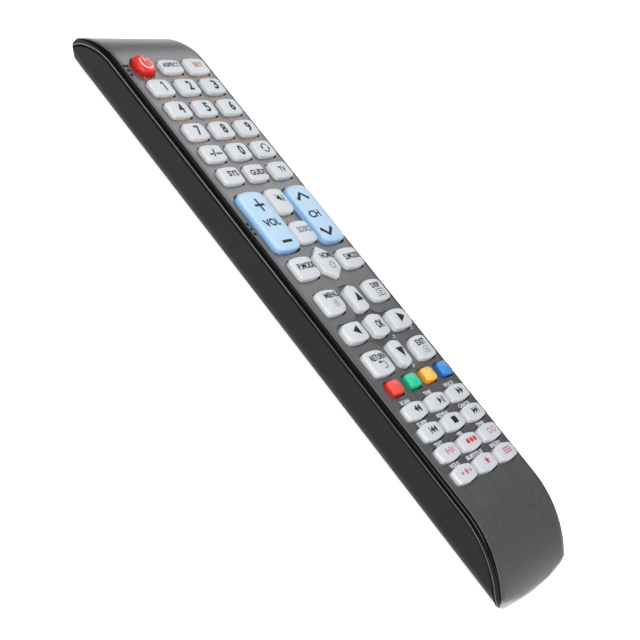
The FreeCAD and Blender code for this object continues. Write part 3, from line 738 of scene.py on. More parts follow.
def key_cutter(name, grow, z0, z1, flare=True):
    allv, allf = [], []
    for n, (x0, y0, w, d, h, rs, bf, bn, kind) in KEYS.items():
        g = grow + (0.15 if kind == "rock" else 0.0)
        sq = (0.0, 0.7, 0.9, 0.0)          # openings stand off most at the two right corners
        a = outline(w, d, rs, bf, bn, grow=g, sq=sq)
        b = outline(w, d, rs, bf, bn, grow=g + 0.14, sq=sq) if flare else a
        m = len(a)
        rows = [[(x0 + p[0], y0 + p[1], z0) for p in a]]
        if flare:
            rows += [[(x0 + p[0], y0 + p[1], ZF - 0.10) for p in a], [(x0 + p[0], y0 + p[1], ZF + 0.04) for p in b]]
            rows += [[(x0 + p[0], y0 + p[1], z1) for p in b]]
        else:
            rows += [[(x0 + p[0], y0 + p[1], z1) for p in a]]
        v, f = grid_solid(rows)
        off = len(allv)
        allv += v
        allf += [tuple(i + off for i in q) for q in f]
    return temp_obj(name, allv, allf)


def cross_outline(cx, cy, ax, wy, ay, wx, re, ri, seg=6):
    """Cross with rounded arm ends and rounded inner corners, clockwise."""
    quad = []

    def arc_pts(ox, oy, r, a0, a1):
        return [(ox + r * math.cos(math.radians(a0 + (a1 - a0) * i / seg)), oy + r * math.sin(math.radians(a0 + (a1 - a0) * i / seg))) for i in range(seg + 1)]
    # from the far arm round to the right arm
    quad += arc_pts(wx - re, ay - re, re, 90, 0)
    quad += arc_pts(wx + ri, wy + ri, ri, 180, 270)
    quad += arc_pts(ax - re, wy - re, re, 90, 0)
    out = list(quad)
    out += [(x, -y) for x, y in reversed(quad)]
    out += [(-x, -y) for x, y in quad]
    out += [(-x, y) for x, y in reversed(quad)]
    return [(cx + x, cy + y) for x, y in out]


def mark_cutter(o, mat):
    """The cut faces take this material."""
    o.data.materials.append(MAT[mat])
    for q in o.data.polygons:
        q.material_index = 0


def reset_mats(o, *mats):
    me = o.data
    idx = [min(p.material_index, len(mats) - 1) for p in me.polygons]
    me.materials.clear()
    for m in mats:
        me.materials.append(m)
    me.polygons.foreach_set("material_index", idx)


# face plate: thin sheet with softly rounded long edges
def plate_section():
    hw, t = PLATE_HW, 1.2
    pts = [(-hw, t), (-hw, 0.6), (-hw, 0.16), (-hw + 0.05, 0.05), (-hw + 0.16, 0.0)]
    nx = 22
    for i in range(1, nx):
        pts.append((-hw + 0.16 + (2 * hw - 0.32) * i / nx, 0.0))
    pts += [(hw - 0.16, 0.0), (hw - 0.05, 0.05), (hw, 0.16), (hw, 0.6), (hw, t)]
    for i in range(1, nx):
        pts.append((hw - 2 * hw * i / nx, t))
    return pts


st = [(-HALF_L, 3.42, -1.0, 0.0)] + arch(near_stop=-90.0, far_stop=47.9)
v, f = sweep(plate_section(), st)
plate = make_obj("front_plate", v, f, [MAT["face"], MAT["face_painted_shade"], MAT["hole"]], None)
# the sunk cross round the arrow keys: its cut floor and walls take the darker face, painted shade
lowc = cross_outline(0.7, -23.6, 20.4, 4.6, 18.0, 4.5, 3.2, 4.2)
rows = [[(p[0], p[1], ZF - 0.36) for p in inset(lowc, 0.20)], [(p[0], p[1], ZF - 0.29) for p in inset(lowc, 0.08)],
        [(p[0], p[1], ZF - 0.06) for p in lowc], [(p[0], p[1], ZF + 0.05) for p in inset(lowc, -0.12)], [(p[0], p[1], ZF + 1.0) for p in inset(lowc, -0.12)]]
v, f = grid_solid(rows)
cut = temp_obj("cutter_r", v, f)
mark_cutter(cut, "face_painted_shade")
boolean(plate, cut)
drop(cut)
# the opening walls take near-black: painted shade in the gaps round the keys
cut = key_cutter("cutter_a", 0.25, 14.5, 22.0)
mark_cutter(cut, "hole")
boolean(plate, cut)
drop(cut)
reset_mats(plate, MAT["face"], MAT["face_painted_shade"], MAT["hole"])
smooth_by_angle(plate.data, 28)
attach(plate, "root")
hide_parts("face_panel")


# upper shell: roof, end walls and the two glossy rims
RIM = [(1.27, 0.07), (0.34, 0.07), (0.24, 0.12), (0.20, 0.22), (0.24, 0.31), (0.40, 0.36), (0.52, 0.43), (0.40, 0.50), (0.28, 0.56), (0.24, 0.66),
       (0.30, 0.86), (0.47, 1.08), (0.76, 1.28), (1.10, 1.42), (1.42, 1.52), (1.62, 1.58), (1.70, 1.66), (1.88, 1.70), (2.06, 1.69), (2.20, 1.62),
       (2.30, 1.46), (2.36, 1.30)]
NX = 16


def upper_section(dc, rim_in):
    """dc: depth of the middle part; rim_in: how much of the inner rim step is kept."""
    right = []
    for d, o in RIM:
        if o < 0.45:
            d = dc + (d - dc) * rim_in if rim_in < 1 else d
        right.append((PLATE_HW + o, d))
    left = [(-x, d) for x, d in reversed(right)]
    mid_top = [(-PLATE_HW + 2 * PLATE_HW * i / NX, dc) for i in range(0, NX + 1)]
    mid_bot = [(PLATE_HW - 2 * PLATE_HW * i / NX, 2.36) for i in range(0, NX + 1)]
    return left + mid_top + right + mid_bot


rows = []
far_end = math.degrees(math.acos((5.02 - FNZ) / FAR_N))
stations = [(-HALF_L, 2.62, -1.0, 0.0), (-HALF_L, 3.34, -1.0, 0.0), (-HALF_L, 3.38, -1.0, 0.0)] + arch(near_stop=-90.0, far_stop=48.25)
n_mid = len(stations)
for k in range(0, 15):
    a = math.radians(48.35 + (far_end - 48.35) * k / 14)
    stations.append((FNY + FAR_N * math.sin(a), FNZ + FAR_N * math.cos(a), math.sin(a), math.cos(a)))
for i, (y, z, ny, nz) in enumerate(stations):
    ends = i < 2 or i >= n_mid
    sec = upper_section(0.0, 0.0) if ends else upper_section(1.27, 1.0)
    rows.append([warp(x, y - ny * dd, z - nz * dd) for x, dd in sec])
v, f = grid_solid(rows)
nring = len(rows[0])
nr = len(RIM)
# mid-grey strips along the lower edge of each glossy rim: a painted highlight line, only one strip wide on the near
# half where the highlight is fainter
painted_bead_highlight = set()
for j in range(16, 18):
    painted_bead_highlight.add(nr + NX + 1 + j)
    painted_bead_highlight.add(nr - 2 - j)
thin = {nr + NX + 1 + 16, nr - 2 - 16}
idx = []
for i in range(len(rows) - 1):
    strip = thin if stations[i][0] < -8.0 else painted_bead_highlight
    for j in range(nring):
        idx.append(1 if j in strip else 0)
idx += [0, 0]
upper = make_obj("upper_shell", v, f, [MAT["gloss"], MAT["painted_bead_highlight"]], None, mat_idx=idx)
cut = key_cutter("cutter_b", 0.25, 12.0, 22.0, flare=False)
mark_cutter(cut, "gloss")
boolean(upper, cut)
drop(cut)
hole_rows = [[(2.65 * math.cos(2 * math.pi * (i + 0.37) / 40), y, 8.6 + 2.65 * math.sin(2 * math.pi * (i + 0.37) / 40)) for i in range(40)] for y in (110.0, 122.0)]
v, f = grid_solid(hole_rows)
cut = temp_obj("cutter_c", v, f)
mark_cutter(cut, "gloss")
boolean(upper, cut)
drop(cut)
reset_mats(upper, MAT["gloss"], MAT["painted_bead_highlight"])
smooth_by_angle(upper.data, 32)
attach(upper, "root")
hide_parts("upper_case")


# lower shell
def low_top_path():
    """(y, z) of the top edge of the lower shell, from the near tip to the far one."""
    pts = [(-118.85, 2.54), (-118.4, 2.54), (-117.7, 2.54), (-117.1, 2.54)]
    pts += [(y - ny * 2.46, z - nz * 2.46) for (y, z, ny, nz) in arch(near_stop=-90, far_stop=84.8)]
    pts += [(117.4, 4.94), (117.8, 4.94), (far_reach(4.90), 4.94)]
    return pts


SECT_Z = [0.0, 1.0, 2.0, 3.0, 3.98, 4.35, 4.8, 5.3, 5.9, 6.5, 7.2, 7.9, 8.55, 10.4, 12.3, 14.1, 15.4]


def lower_ring(y, zt, t=0.0, top=None):
    """Ring across the body at y from belly to zt; with top given it runs straight up to that height."""
    b = belly(y) + t
    cap = zt - min(0.62, 0.5 * (zt - b))
    hi = top if top is not None else cap
    x0 = side(b, t) if b > t + 0.001 else side(t, t)
    half = [(x0 * k / 6, b) for k in range(6)]
    for z in SECT_Z:
        z = min(max(z, b), hi if top is None else 15.9)
        half.append((side(z, t) if z > b else x0, z))
    if top is None:
        w = side(zt)
        k = min(1.0, (zt - b) / 1.4)
        half += [(side(cap) - 0.02 * k, cap), (w - 0.20 * k, cap + 0.22 * k), (w - 0.46 * k, zt - 0.14 * k), (w - 0.50 * k, zt)]
    else:
        half += [(side(16.1, t), 16.1), (side(16.1, t), top)]
    ring = half + [(-x, z) for x, z in reversed(half[1:])]
    out = []
    for x, z in ring:
        lim = tip(x, corner(y, z))
        out.append((x, nose(max(-lim, min(lim, y))), z))
    return out


path = low_top_path()
rows = [lower_ring(y, zt) for y, zt in path]
v, f = grid_solid(rows)
nring = len(rows[0])
# two face strips near the top edge of the lower shell, on each side, take near-black: painted shade in the parting gap
nh = 6 + len(SECT_Z) + 4
gap_shade_faces = {nh - 3, nh - 4, nring - (nh - 3), nring - (nh - 4)}
idx = []
for i in range(len(rows) - 1):
    for j in range(nring):
        idx.append(1 if j in gap_shade_faces else 0)
idx += [0, 0]
lower = make_obj("lower_shell", v, f, [MAT["charcoal"], MAT["gap"]], None, mat_idx=idx)
inner_path = [-112.5, -105, -95, -60, -20, 20, 60, 95, 105, 112.5]
v, f = grid_solid([lower_ring(y, 0.0, 1.6, 26.0) for y in inner_path])
cut = temp_obj("cutter_d", v, f)
mark_cutter(cut, "charcoal")
boolean(lower, cut)
drop(cut)


def box_mesh(x0, x1, y0, y1, z0, z1):
    v = [(x0, y0, z0), (x1, y0, z0), (x1, y1, z0), (x0, y1, z0), (x0, y0, z1), (x1, y0, z1), (x1, y1, z1), (x0, y1, z1)]
    f = [(0, 3, 2, 1), (4, 5, 6, 7), (0, 1, 5, 4), (1, 2, 6, 5), (2, 3, 7, 6), (3, 0, 4, 7)]
    return v, f


def rounded_box(x0, x1, y0, y1, z0, z1, r, seg=5):
    """Box with upright edges rounded by r."""
    pts = []
    for cx, cy, a0 in ((x1 - r, y1 - r, 0), (x0 + r, y1 - r, 90), (x0 + r, y0 + r, 180), (x1 - r, y0 + r, 270)):
        for k in range(seg + 1):
            a = math.radians(a0 + 90 * k / seg)
            pts.append((cx + r * math.cos(a), cy + r * math.sin(a)))
    return grid_solid([[(p[0], p[1], z0) for p in pts], [(p[0], p[1], z1) for p in pts]])


CV_HW, CV_Y0, CV_Y1, CV_T = 11.4, -88.6, -32.2, 1.2
v, f = box_mesh(-CV_HW - 0.25, CV_HW + 0.25, CV_Y0 - 0.25, CV_Y1 + 0.2, -1.0, 2.5)
cut = temp_obj("cutter_e", v, f)
mark_cutter(cut, "charcoal")
boolean(lower, cut)
drop(cut)
for sx in (-6.0, 6.0):
    ring = [[(sx + 2.35 * math.cos(2 * math.pi * i / 32), -4.3 + 2.35 * math.sin(2 * math.pi * i / 32), z) for i in range(32)] for z in (-1.0, 3.0)]
    v, f = grid_solid(ring)
    cut = temp_obj("cutter_f", v, f)
    mark_cutter(cut, "charcoal")
    boolean(lower, cut)
    drop(cut)
reset_mats(lower, MAT["charcoal"], MAT["gap"])
smooth_by_angle(lower.data, 30)
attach(lower, "root")
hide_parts("lower_case")

# well walls and the tubes round the screws
parts = [box_mesh(-12.7, -11.75, -89.9, -31.2, 1.5, 11.9), box_mesh(11.75, 12.7, -89.9, -31.2, 1.5, 11.9),
         box_mesh(-11.74, 11.74, -89.9, -88.95, 1.5, 11.9), box_mesh(-11.74, 11.74, -34.9, -33.6, 2.7, 11.9),
         box_mesh(-11.74, 11.74, -31.95, -31.2, 1.5, 11.9)]
av, af = [], []
for v, f in parts:
    off = len(av)
    av += v
    af += [tuple(i + off for i in q) for q in f]
for sx in (-6.0, 6.0):
    n = 32
    ring = []
    for r, z in ((2.36, 1.7), (3.2, 1.7), (3.2, 11.9), (1.3, 11.9), (1.3, 3.6), (1.3, 3.5), (2.36, 3.45)):
        ring.append([(sx + r * math.cos(2 * math.pi * i / n), -4.3 + r * math.sin(2 * math.pi * i / n), z) for i in range(n)])
    off = len(av)
    for r in ring:
        av += r
    m = len(ring)
    for k in range(m):
        for j in range(n):
            a, b = k * n + j, k * n + (j + 1) % n
            c, d = ((k + 1) % m) * n + (j + 1) % n, ((k + 1) % m) * n + j
            af.append((a + off, b + off, c + off, d + off))
well = make_obj("lower_shell_walls", av, af, [MAT["charcoal"]], "root")


# battery cover: plate with rounded hinge edge, softened rim and raised grip ribs
def cover_mesh():
    hw, y0, y1, t = CV_HW, CV_Y0, CV_Y1, CV_T
    prof = [(y0, t), (y0, 0.14), (y0 + 0.04, 0.05), (y0 + 0.14, 0.0)]
    gy = y0 + 3.6
    for i in range(6):
        a = gy + i * 1.7
        prof += [(a, 0.0), (a + 0.12, 0.06), (a + 0.3, 0.34), (a + 0.62, 0.34), (a + 0.8, 0.06), (a + 0.92, 0.0)]
    hy = y1 - t
    prof += [(hy, 0.0)]
    for k in range(1, 7):
        a = math.pi / 2 * k / 6
        prof.append((hy + t * math.sin(a), t - t * math.cos(a)))
    prof += [(hy - 1.0, t)]
    return prof


prof = cover_mesh()
rows = []
for x in (-CV_HW, -CV_HW + 0.05, -CV_HW + 0.16):
    dz = {0: 0.14, 1: 0.04, 2: 0.0}[len(rows)]
    rows.append([(x, p[0], max(p[1], dz) if p[1] < 0.5 else p[1]) for p in prof])
grip = [p for p in prof]
flat_prof = [(p[0], 0.0 if (0.0 < p[1] < 0.5 and CV_Y0 + 1 < p[0] < CV_Y0 + 16) else p[1]) for p in prof]
rows = [[(r[j][0], flat_prof[j][0], max(flat_prof[j][1], (0.14, 0.04, 0.0)[k]) if flat_prof[j][1] < 0.5 else flat_prof[j][1]) for j in range(len(prof))] for k, r in enumerate(rows)]
for x in (-6.0,):
    rows.append([(x, p[0], p[1]) for p in flat_prof])
rows.append([(-5.6, p[0], p[1]) for p in prof])
rows.append([(5.6, p[0], p[1]) for p in prof])
rows.append([(6.0, p[0], p[1]) for p in flat_prof])
left = rows[:3]
rows += [[(-q[0], q[1], q[2]) for q in r] for r in reversed(left)]
v, f = grid_solid(rows)
cover = make_obj("cover_plate", v, f, [MAT["cover"]], "battery_cover", ("battery_cover",), angle=28)


# ---------------------------------------------------------------------------
# printed marks
# ---------------------------------------------------------------------------
def font_mesh(text, size, stretch=1.0, bold=0.0, spacing=1.0):
    """Plain lettering of the built-in face as a thin solid."""
    cu = bpy.data.curves.new("t", "FONT")
    cu.body = text
    cu.size = size
    cu.align_x = "CENTER"
    cu.align_y = "CENTER"
    cu.extrude = 0.001
    cu.offset = bold
    cu.space_character = spacing
    cu.resolution_u = 4
    o = bpy.data.objects.new("t", cu)
    COL.objects.link(o)
    bpy.context.view_layer.update()
    dg = bpy.context.evaluated_depsgraph_get()
    me = bpy.data.meshes.new_from_object(o.evaluated_get(dg))
    verts = [(v.co.x * stretch, v.co.y, v.co.z) for v in me.vertices]
    faces = [tuple(p.vertices) for p in me.polygons]
    bpy.data.meshes.remove(me)
    bpy.data.objects.remove(o)
    bpy.data.curves.remove(cu)
    if verts:
        xs = [v[0] for v in verts]
        ys = [v[1] for v in verts]
        cx, cy = (min(xs) + max(xs)) / 2, (min(ys) + max(ys)) / 2
        verts = [(v[0] - cx, v[1] - cy, v[2]) for v in verts]
    return verts, faces


def fit(vf, w=None, h=None):
    """Scales a flat mark to a width or height in mm."""
    verts, faces = vf
    xs = [v[0] for v in verts]
    ys = [v[1] for v in verts]
    W, H = max(xs) - min(xs), max(ys) - min(ys)
    sx = (w / W) if w else (h / H)
    sy = (h / H) if h else (w / W)
    return [(v[0] * sx, v[1] * sy, v[2]) for v in verts], faces


def text(t, w=None, h=None, bold=0.0, spacing=1.0):
    return fit(font_mesh(t, 1.0, 1.0, bold, spacing), w, h)


def poly(*loops):
    """Closed flat marks from loops of (x, y), each without holes."""
    verts, faces = [], []
    for lp in loops:
        n = len(lp)
        o = len(verts)
        verts += [(x, y, 0.001) for x, y in lp] + [(x, y, -0.001) for x, y in lp]
        faces.append(tuple(o + i for i in range(n)))
        faces.append(tuple(o + n + i for i in reversed(range(n))))
        for i in range(n):
            k = (i + 1) % n
            faces.append((o + i, o + n + i, o + n + k, o + k))
    return verts, faces


def band(path, w, closed=False):
    """A line of width w along path, as quads."""
    loops = []
    n = len(path)
    seg = n if closed else n - 1
    norms = []
    for i in range(n):
        a = path[(i - 1) % n] if (closed or i > 0) else path[i]
        b = path[(i + 1) % n] if (closed or i < n - 1) else path[i]
        tx, ty = b[0] - a[0], b[1] - a[1]
        L = math.hypot(tx, ty) or 1
        norms.append((-ty / L, tx / L))
    left = [(path[i][0] + norms[i][0] * w / 2, path[i][1] + norms[i][1] * w / 2) for i in range(n)]
    right = [(path[i][0] - norms[i][0] * w / 2, path[i][1] - norms[i][1] * w / 2) for i in range(n)]
    verts, faces = [], []
    for i in range(n):
        verts += [(left[i][0], left[i][1], 0.001), (right[i][0], right[i][1], 0.001), (left[i][0], left[i][1], -0.001), (right[i][0], right[i][1], -0.001)]
    for i in range(seg):
        k = (i + 1) % n
        a, b = i * 4, k * 4
        faces += [(a, a + 1, b + 1, b), (a + 2, b + 2, b + 3, a + 3), (a, b, b + 2, a + 2), (a + 1, a + 3, b + 3, b + 1)]
    if not closed:
        faces += [(0, 2, 3, 1), ((n - 1) * 4, (n - 1) * 4 + 1, (n - 1) * 4 + 3, (n - 1) * 4 + 2)]
    return verts, faces


def circle(cx, cy, r, a0=0.0, a1=360.0, n=28):
    full = abs(a1 - a0 - 360.0) < 1e-6
    m = n if full else n + 1
    return [(cx + r * math.cos(math.radians(a0 + (a1 - a0) * i / n)), cy + r * math.sin(math.radians(a0 + (a1 - a0) * i / n))) for i in range(m)]


def disc(cx, cy, r, n=20):
    return poly(circle(cx, cy, r, n=n))


def join(*parts):
    verts, faces = [], []
    for v, f in parts:
        o = len(verts)
        verts += list(v)
        faces += [tuple(i + o for i in q) for q in f]
    return verts, faces


def shift(vf, dx, dy, s=1.0):
    return [(v[0] * s + dx, v[1] * s + dy, v[2]) for v in vf[0]], vf[1]


def tree_for(key_name):
    return TOPS.get(key_name)


def mark(name, vf, at, mat, body="root", key_name=None, lift=0.03, sink=0.06, cuts=0, drape=None):
    verts, faces = vf
    x0, y0 = at
    me = bpy.data.meshes.new(name)
    me.from_pydata([((v[0] + x0) * MM, (v[1] + y0) * MM, v[2]) for v in verts], [], faces)
    bm = bmesh.new()
    bm.from_mesh(me)
    bmesh.ops.remove_doubles(bm, verts=bm.verts, dist=1e-6)
    if tree_for(key_name) is not None or drape is not None:
        for ax in (0, 1):
            lo_ = min(w_.co[ax] for w_ in bm.verts)
            hi_ = max(w_.co[ax] for w_ in bm.verts)
            step = 0.55 * MM
            no = (1, 0, 0) if ax == 0 else (0, 1, 0)
            g = math.floor(lo_ / step) + 1
            while g * step < hi_:
                co = [0.0, 0.0, 0.0]
                co[ax] = g * step + 1.73e-5
                bmesh.ops.bisect_plane(bm, geom=bm.verts[:] + bm.edges[:] + bm.faces[:], dist=1e-6, plane_co=co, plane_no=no)
                g += 1
    bmesh.ops.triangulate(bm, faces=[q for q in bm.faces if len(q.verts) > 4])
    bmesh.ops.dissolve_degenerate(bm, edges=bm.edges[:], dist=1e-6)
    bmesh.ops.recalc_face_normals(bm, faces=bm.faces)
    tree = TOPS.get(key_name)
    for v in bm.verts:
        up = v.co.z > 0
        if tree is not None:
            hit = tree.ray_cast(Vector((v.co.x, v.co.y, 0.05)), Vector((0, 0, -1)))
            z = hit[0].z if hit[0] is not None else ZF * MM
        else:
            z = ZF * MM
        v.co.z = z + (lift if up else -sink) * MM
    bmesh.ops.recalc_face_normals(bm, faces=bm.faces)
    bm.to_mesh(me)
    bm.free()
    me.materials.append(MAT[mat])
    o = bpy.data.objects.new(name, me)
    COL.objects.link(o)
    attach(o, body)
    return o


# where the middle of each printed mark sits, from the middle of its key
MARK_AT = {"power_key": (-0.03, 0.12), "aspect_key": (-0.25, 0.31), "set_key": (0.43, 0.04), "digit_1_key": (0.43, 0.04),
           "digit_2_key": (0.43, 0.04), "digit_3_key": (0.43, 0.04), "digit_4_key": (0.43, -0.06), "digit_5_key": (0.43, -0.06),
           "digit_6_key": (0.43, -0.06), "digit_7_key": (0.43, -0.06), "digit_8_key": (0.43, -0.06), "digit_9_key": (0.43, -0.06),
           "dash_key": (0.43, -0.16), "digit_0_key": (0.43, -0.16), "swap_key": (0.43, -0.16), "system_key": (0.93, 0.44),
           "guide_key": (0.43, -0.26), "tv_key": (0.43, -0.26), "volume_rocker": (0.03, -0.26), "channel_rocker": (0.53, -0.26),
           "mute_key": (0.43, -0.16), "source_key": (0.83, 0.04), "picture_mode_key": (0.61, -0.28), "home_key": (0.43, -0.16),
           "sound_mode_key": (0.69, -0.65), "menu_key": (0.63, 0.74), "up_key": (0.43, -0.06), "display_key": (0.53, -0.16),
           "left_key": (0.13, -0.06), "ok_key": (0.43, -0.16), "right_key": (0.08, -0.06), "return_key": (0.43, 0.24),
           "down_key": (0.33, -0.64), "exit_key": (0.43, -0.16), "red_key": (-0.97, -0.36), "green_key": (-0.97, -0.36),
           "yellow_key": (-0.77, -0.36), "blue_key": (-0.37, -0.36), "rewind_key": (0.43, 0.04), "play_key": (1.33, -0.36),
           "forward_key": (0.43, 0.04), "previous_key": (0.43, 0.04), "stop_key": (0.43, 0.04), "next_key": (0.43, 0.04),
           "app_1_key": (0.43, 0.04), "app_2_key": (0.43, 0.04), "app_3_key": (0.43, 0.04), "app_4_key": (0.43, 0.04),
           "app_5_key": (0.43, 0.04), "app_6_key": (0.43, 0.04)}


def on_key(key_name, tag, vf, dx=0.0, dy=0.0, mat="ink", cuts=0):
    x, y = KEYS[key_name][0] + MARK_AT[key_name][0], KEYS[key_name][1] + MARK_AT[key_name][1]
    return mark("mark_%s_%s" % (key_name, tag), vf, (x + dx, y + dy), mat, key_name, key_name, cuts=cuts)


for i, n in enumerate(["digit_1_key", "digit_2_key", "digit_3_key", "digit_4_key", "digit_5_key", "digit_6_key", "digit_7_key", "digit_8_key", "digit_9_key"]):
    if i == 0:
        one = join(poly([(0.1, -2.1), (0.75, -2.1), (0.75, 2.1), (0.1, 2.1)]), poly([(0.099, 2.1), (0.099, 1.35), (-0.75, 0.85), (-0.75, 1.45)]))
        on_key(n, "numeral", one, 0.2, 0.0)
    else:
        on_key(n, "numeral", text(str(i + 1), w=2.6, h=4.2, bold=0.03), 0.1, 0.0)
on_key("digit_0_key", "numeral", text("0", w=2.7, h=4.2, bold=0.03), 0.1, 0.0)
on_key("dash_key", "text", text("-/--", w=6.6, h=3.3, bold=0.03), 0.0, 0.0)

# swap key: two curved arrows
def arrow_head(x, y, ang, s):
    a = math.radians(ang)
    pts = [(s, 0), (-s * 0.6, s * 0.8), (-s * 0.6, -s * 0.8)]
    return poly([(x + p[0] * math.cos(a) - p[1] * math.sin(a), y + p[0] * math.sin(a) + p[1] * math.cos(a)) for p in pts])


on_key("swap_key", "icon", join(band(circle(0, 0, 1.75, 35, 165, 14), 0.45), arrow_head(-1.78, 0.05, 262, 0.85),
                                band(circle(0, 0, 1.75, 215, 345, 14), 0.45), arrow_head(1.78, -0.05, 82, 0.85)))
on_key("aspect_key", "text", text("ASPECT", w=8.8, h=2.0, bold=0.03))
on_key("set_key", "text", text("SET", w=5.2, h=2.2, bold=0.03), 0.0, 0.2, "ink_rose")
on_key("system_key", "text", text("SYS", w=5.6, h=2.4, bold=0.03))
on_key("guide_key", "text", text("GUIDE", w=8.4, h=2.4, bold=0.03))
on_key("tv_key", "text", text("TV", w=3.8, h=2.5, bold=0.03))

on_key("power_key", "icon", join(band(circle(0, -0.1, 2.6, 128, 412, 30), 0.55), poly([(-0.28, 0.3), (0.28, 0.3), (0.28, 3.1), (-0.28, 3.1)])), mat="ink_white")

on_key("volume_rocker", "plus", join(poly([(-2.6, -0.48), (2.6, -0.48), (2.6, 0.48), (-2.6, 0.48)]), poly([(-0.48, 0.481), (0.48, 0.481), (0.48, 2.8), (-0.48, 2.8)]),
                                     poly([(-0.48, -2.8), (0.48, -2.8), (0.48, -0.481), (-0.48, -0.481)])), -0.1, 6.4)
on_key("volume_rocker", "text", text("VOL", h=3.1, bold=0.03), -0.7, -1.2)
on_key("volume_rocker", "minus", poly([(-2.6, -0.52), (2.6, -0.52), (2.6, 0.52), (-2.6, 0.52)]), 0.0, -9.2)
on_key("channel_rocker", "up", band([(-3.1, -1.4), (0, 1.4), (3.1, -1.4)], 1.35), -1.9, 7.4)
on_key("channel_rocker", "text", text("CH", h=3.1, bold=0.03), -2.7, -0.7)
on_key("channel_rocker", "down", band([(-3.1, 1.4), (0, -1.4), (3.1, 1.4)], 1.35), -2.6, -8.4)

# mute: a loudspeaker with a stroke through it
on_key("mute_key", "icon", join(poly([(-1.9, -0.55), (-1.0, -0.55), (0.2, -1.5), (0.2, 1.5), (-1.0, 0.55), (-1.9, 0.55)]),
                                band(circle(0.1, 0, 1.35, -42, 42, 8), 0.26), band(circle(0.1, 0, 2.1, -42, 42, 10), 0.26),
                                band([(-1.9, 1.75), (2.0, -1.75)], 0.34)), 0.1, 1.0)
on_key("source_key", "text", text("SOURCE", w=7.8, h=2.5, bold=0.02), 0, 0.6, "ink_grey")
on_key("picture_mode_key", "text", text("P.MODE", w=9.4, h=2.5, bold=0.03), 0.2, 0.7)
on_key("sound_mode_key", "text", text("S.MODE", w=9.0, h=2.5, bold=0.03), 0.0, 0.9)
on_key("home_key", "text", text("HOME", w=6.8, h=2.5, bold=0.03), 0.9, 2.5)
on_key("home_key", "icon", join(band([(-1.5, -0.1), (0, 1.2), (1.5, -0.1)], 0.26), band([(-1.05, 0.1), (-1.05, -1.3), (1.05, -1.3), (1.05, 0.1)], 0.24)), 0.1, -1.5)
on_key("menu_key", "text", text("MENU", w=7.8, h=2.2, bold=0.03), 1.0, 1.6)
on_key("menu_key", "icon", join(band([(-1.1, 1.1), (1.1, 1.1), (1.1, -1.1), (-1.1, -1.1)], 0.22, True), band([(-0.6, 0.5), (0.6, 0.5)], 0.2),
                                band([(-0.6, 0.0), (0.6, 0.0)], 0.2), band([(-0.6, -0.5), (0.6, -0.5)], 0.2)), 0.5, -1.7, "ink_grey")
on_key("display_key", "text", text("DISP", w=5.2, h=2.2, bold=0.03), 0.0, 1.8)
on_key("display_key", "icon", join(band([(-2.0, 1.25), (2.0, 1.25), (2.0, -1.25), (-2.0, -1.25)], 0.32, True), band([(-1.0, 0.35), (1.0, 0.35)], 0.26), band([(-1.0, -0.4), (0.6, -0.4)], 0.26)), 0.2, -1.3)
on_key("return_key", "text", text("RETURN", w=8.4, h=2.3, bold=0.03), 0.0, 1.4)
on_key("return_key", "icon", join(band(circle(0.3, -0.1, 1.2, -90, 90, 12), 0.3), band([(0.3, 1.1), (-1.0, 1.1)], 0.3), arrow_head(-1.35, 1.1, 180, 0.8), band([(0.3, -1.3), (-0.6, -1.3)], 0.3)), 0.3, -1.7)
on_key("exit_key", "text", text("EXIT", w=5.4, h=2.4, bold=0.03), 0.0, 1.8)
on_key("exit_key", "icon", join(band([(-1.5, 1.1), (1.5, 1.1), (1.5, -1.1), (-1.5, -1.1)], 0.22, True), band([(-0.6, 0.5), (0.6, -0.5)], 0.22), band([(-0.6, -0.5), (0.6, 0.5)], 0.22)), 0.2, -1.4, "ink_grey")
on_key("ok_key", "text", text("OK", w=4.1, h=3.1, bold=0.035))
TRI = 2.3
on_key("up_key", "icon", poly([(-1.95, -1.6), (1.95, -1.6), (0, 2.0)]), 0.1, 0.2)
on_key("down_key", "icon", poly([(-2.1, 1.7), (0, -2.1), (2.1, 1.7)]), 0.1, 0.6)
on_key("left_key", "icon", poly([(1.4, -1.9), (1.4, 1.9), (-2.1, 0)]), 0.4, 0.2)
on_key("right_key", "icon", poly([(-1.5, 2.0), (-1.5, -2.0), (2.3, 0)]), 0.3, 0.2)


def tri(x, s, d=1):
    return poly([(x, s), (x, -s), (x + d * s * 1.25, 0)])


def bar(x0, x1, h):
    return poly([(x0, -h), (x1, -h), (x1, h), (x0, h)])


on_key("rewind_key", "icon", join(tri(0.1, 1.45, -1), tri(1.9, 1.45, -1)), 0.3, 0.1)
on_key("play_key", "icon", join(tri(-1.9, 1.4), bar(0.4, 0.8, 1.35), bar(1.3, 1.7, 1.35)), 0.3, 0.1)
on_key("forward_key", "icon", join(tri(-1.8, 1.45), tri(0.1, 1.45)), 0.2, 0.1)
on_key("previous_key", "icon", join(bar(-2.3, -1.85, 1.3), tri(-0.1, 1.35, -1), tri(1.65, 1.35, -1)), 0.4, 0.1)
on_key("stop_key", "icon", bar(-1.45, 1.45, 1.25), 0.1, 0.1)
on_key("next_key", "icon", join(tri(-1.9, 1.3), tri(-0.25, 1.3), bar(1.5, 1.9, 1.3)), 0.2, 0.1)


# six programme keys: plain geometric marks
def star(r1, r2, n=5):
    return [((r1 if i % 2 == 0 else r2) * math.sin(math.pi * i / n), (r1 if i % 2 == 0 else r2) * math.cos(math.pi * i / n)) for i in range(2 * n)]


def star_mark(r):
    pts = star(r, r * 0.42)
    tris = []
    for i in range(0, 10, 2):
        tris.append([pts[i - 1], pts[i], pts[i + 1]])
    inner = [pts[i] for i in range(1, 10, 2)]
    return poly(*tris, inner)


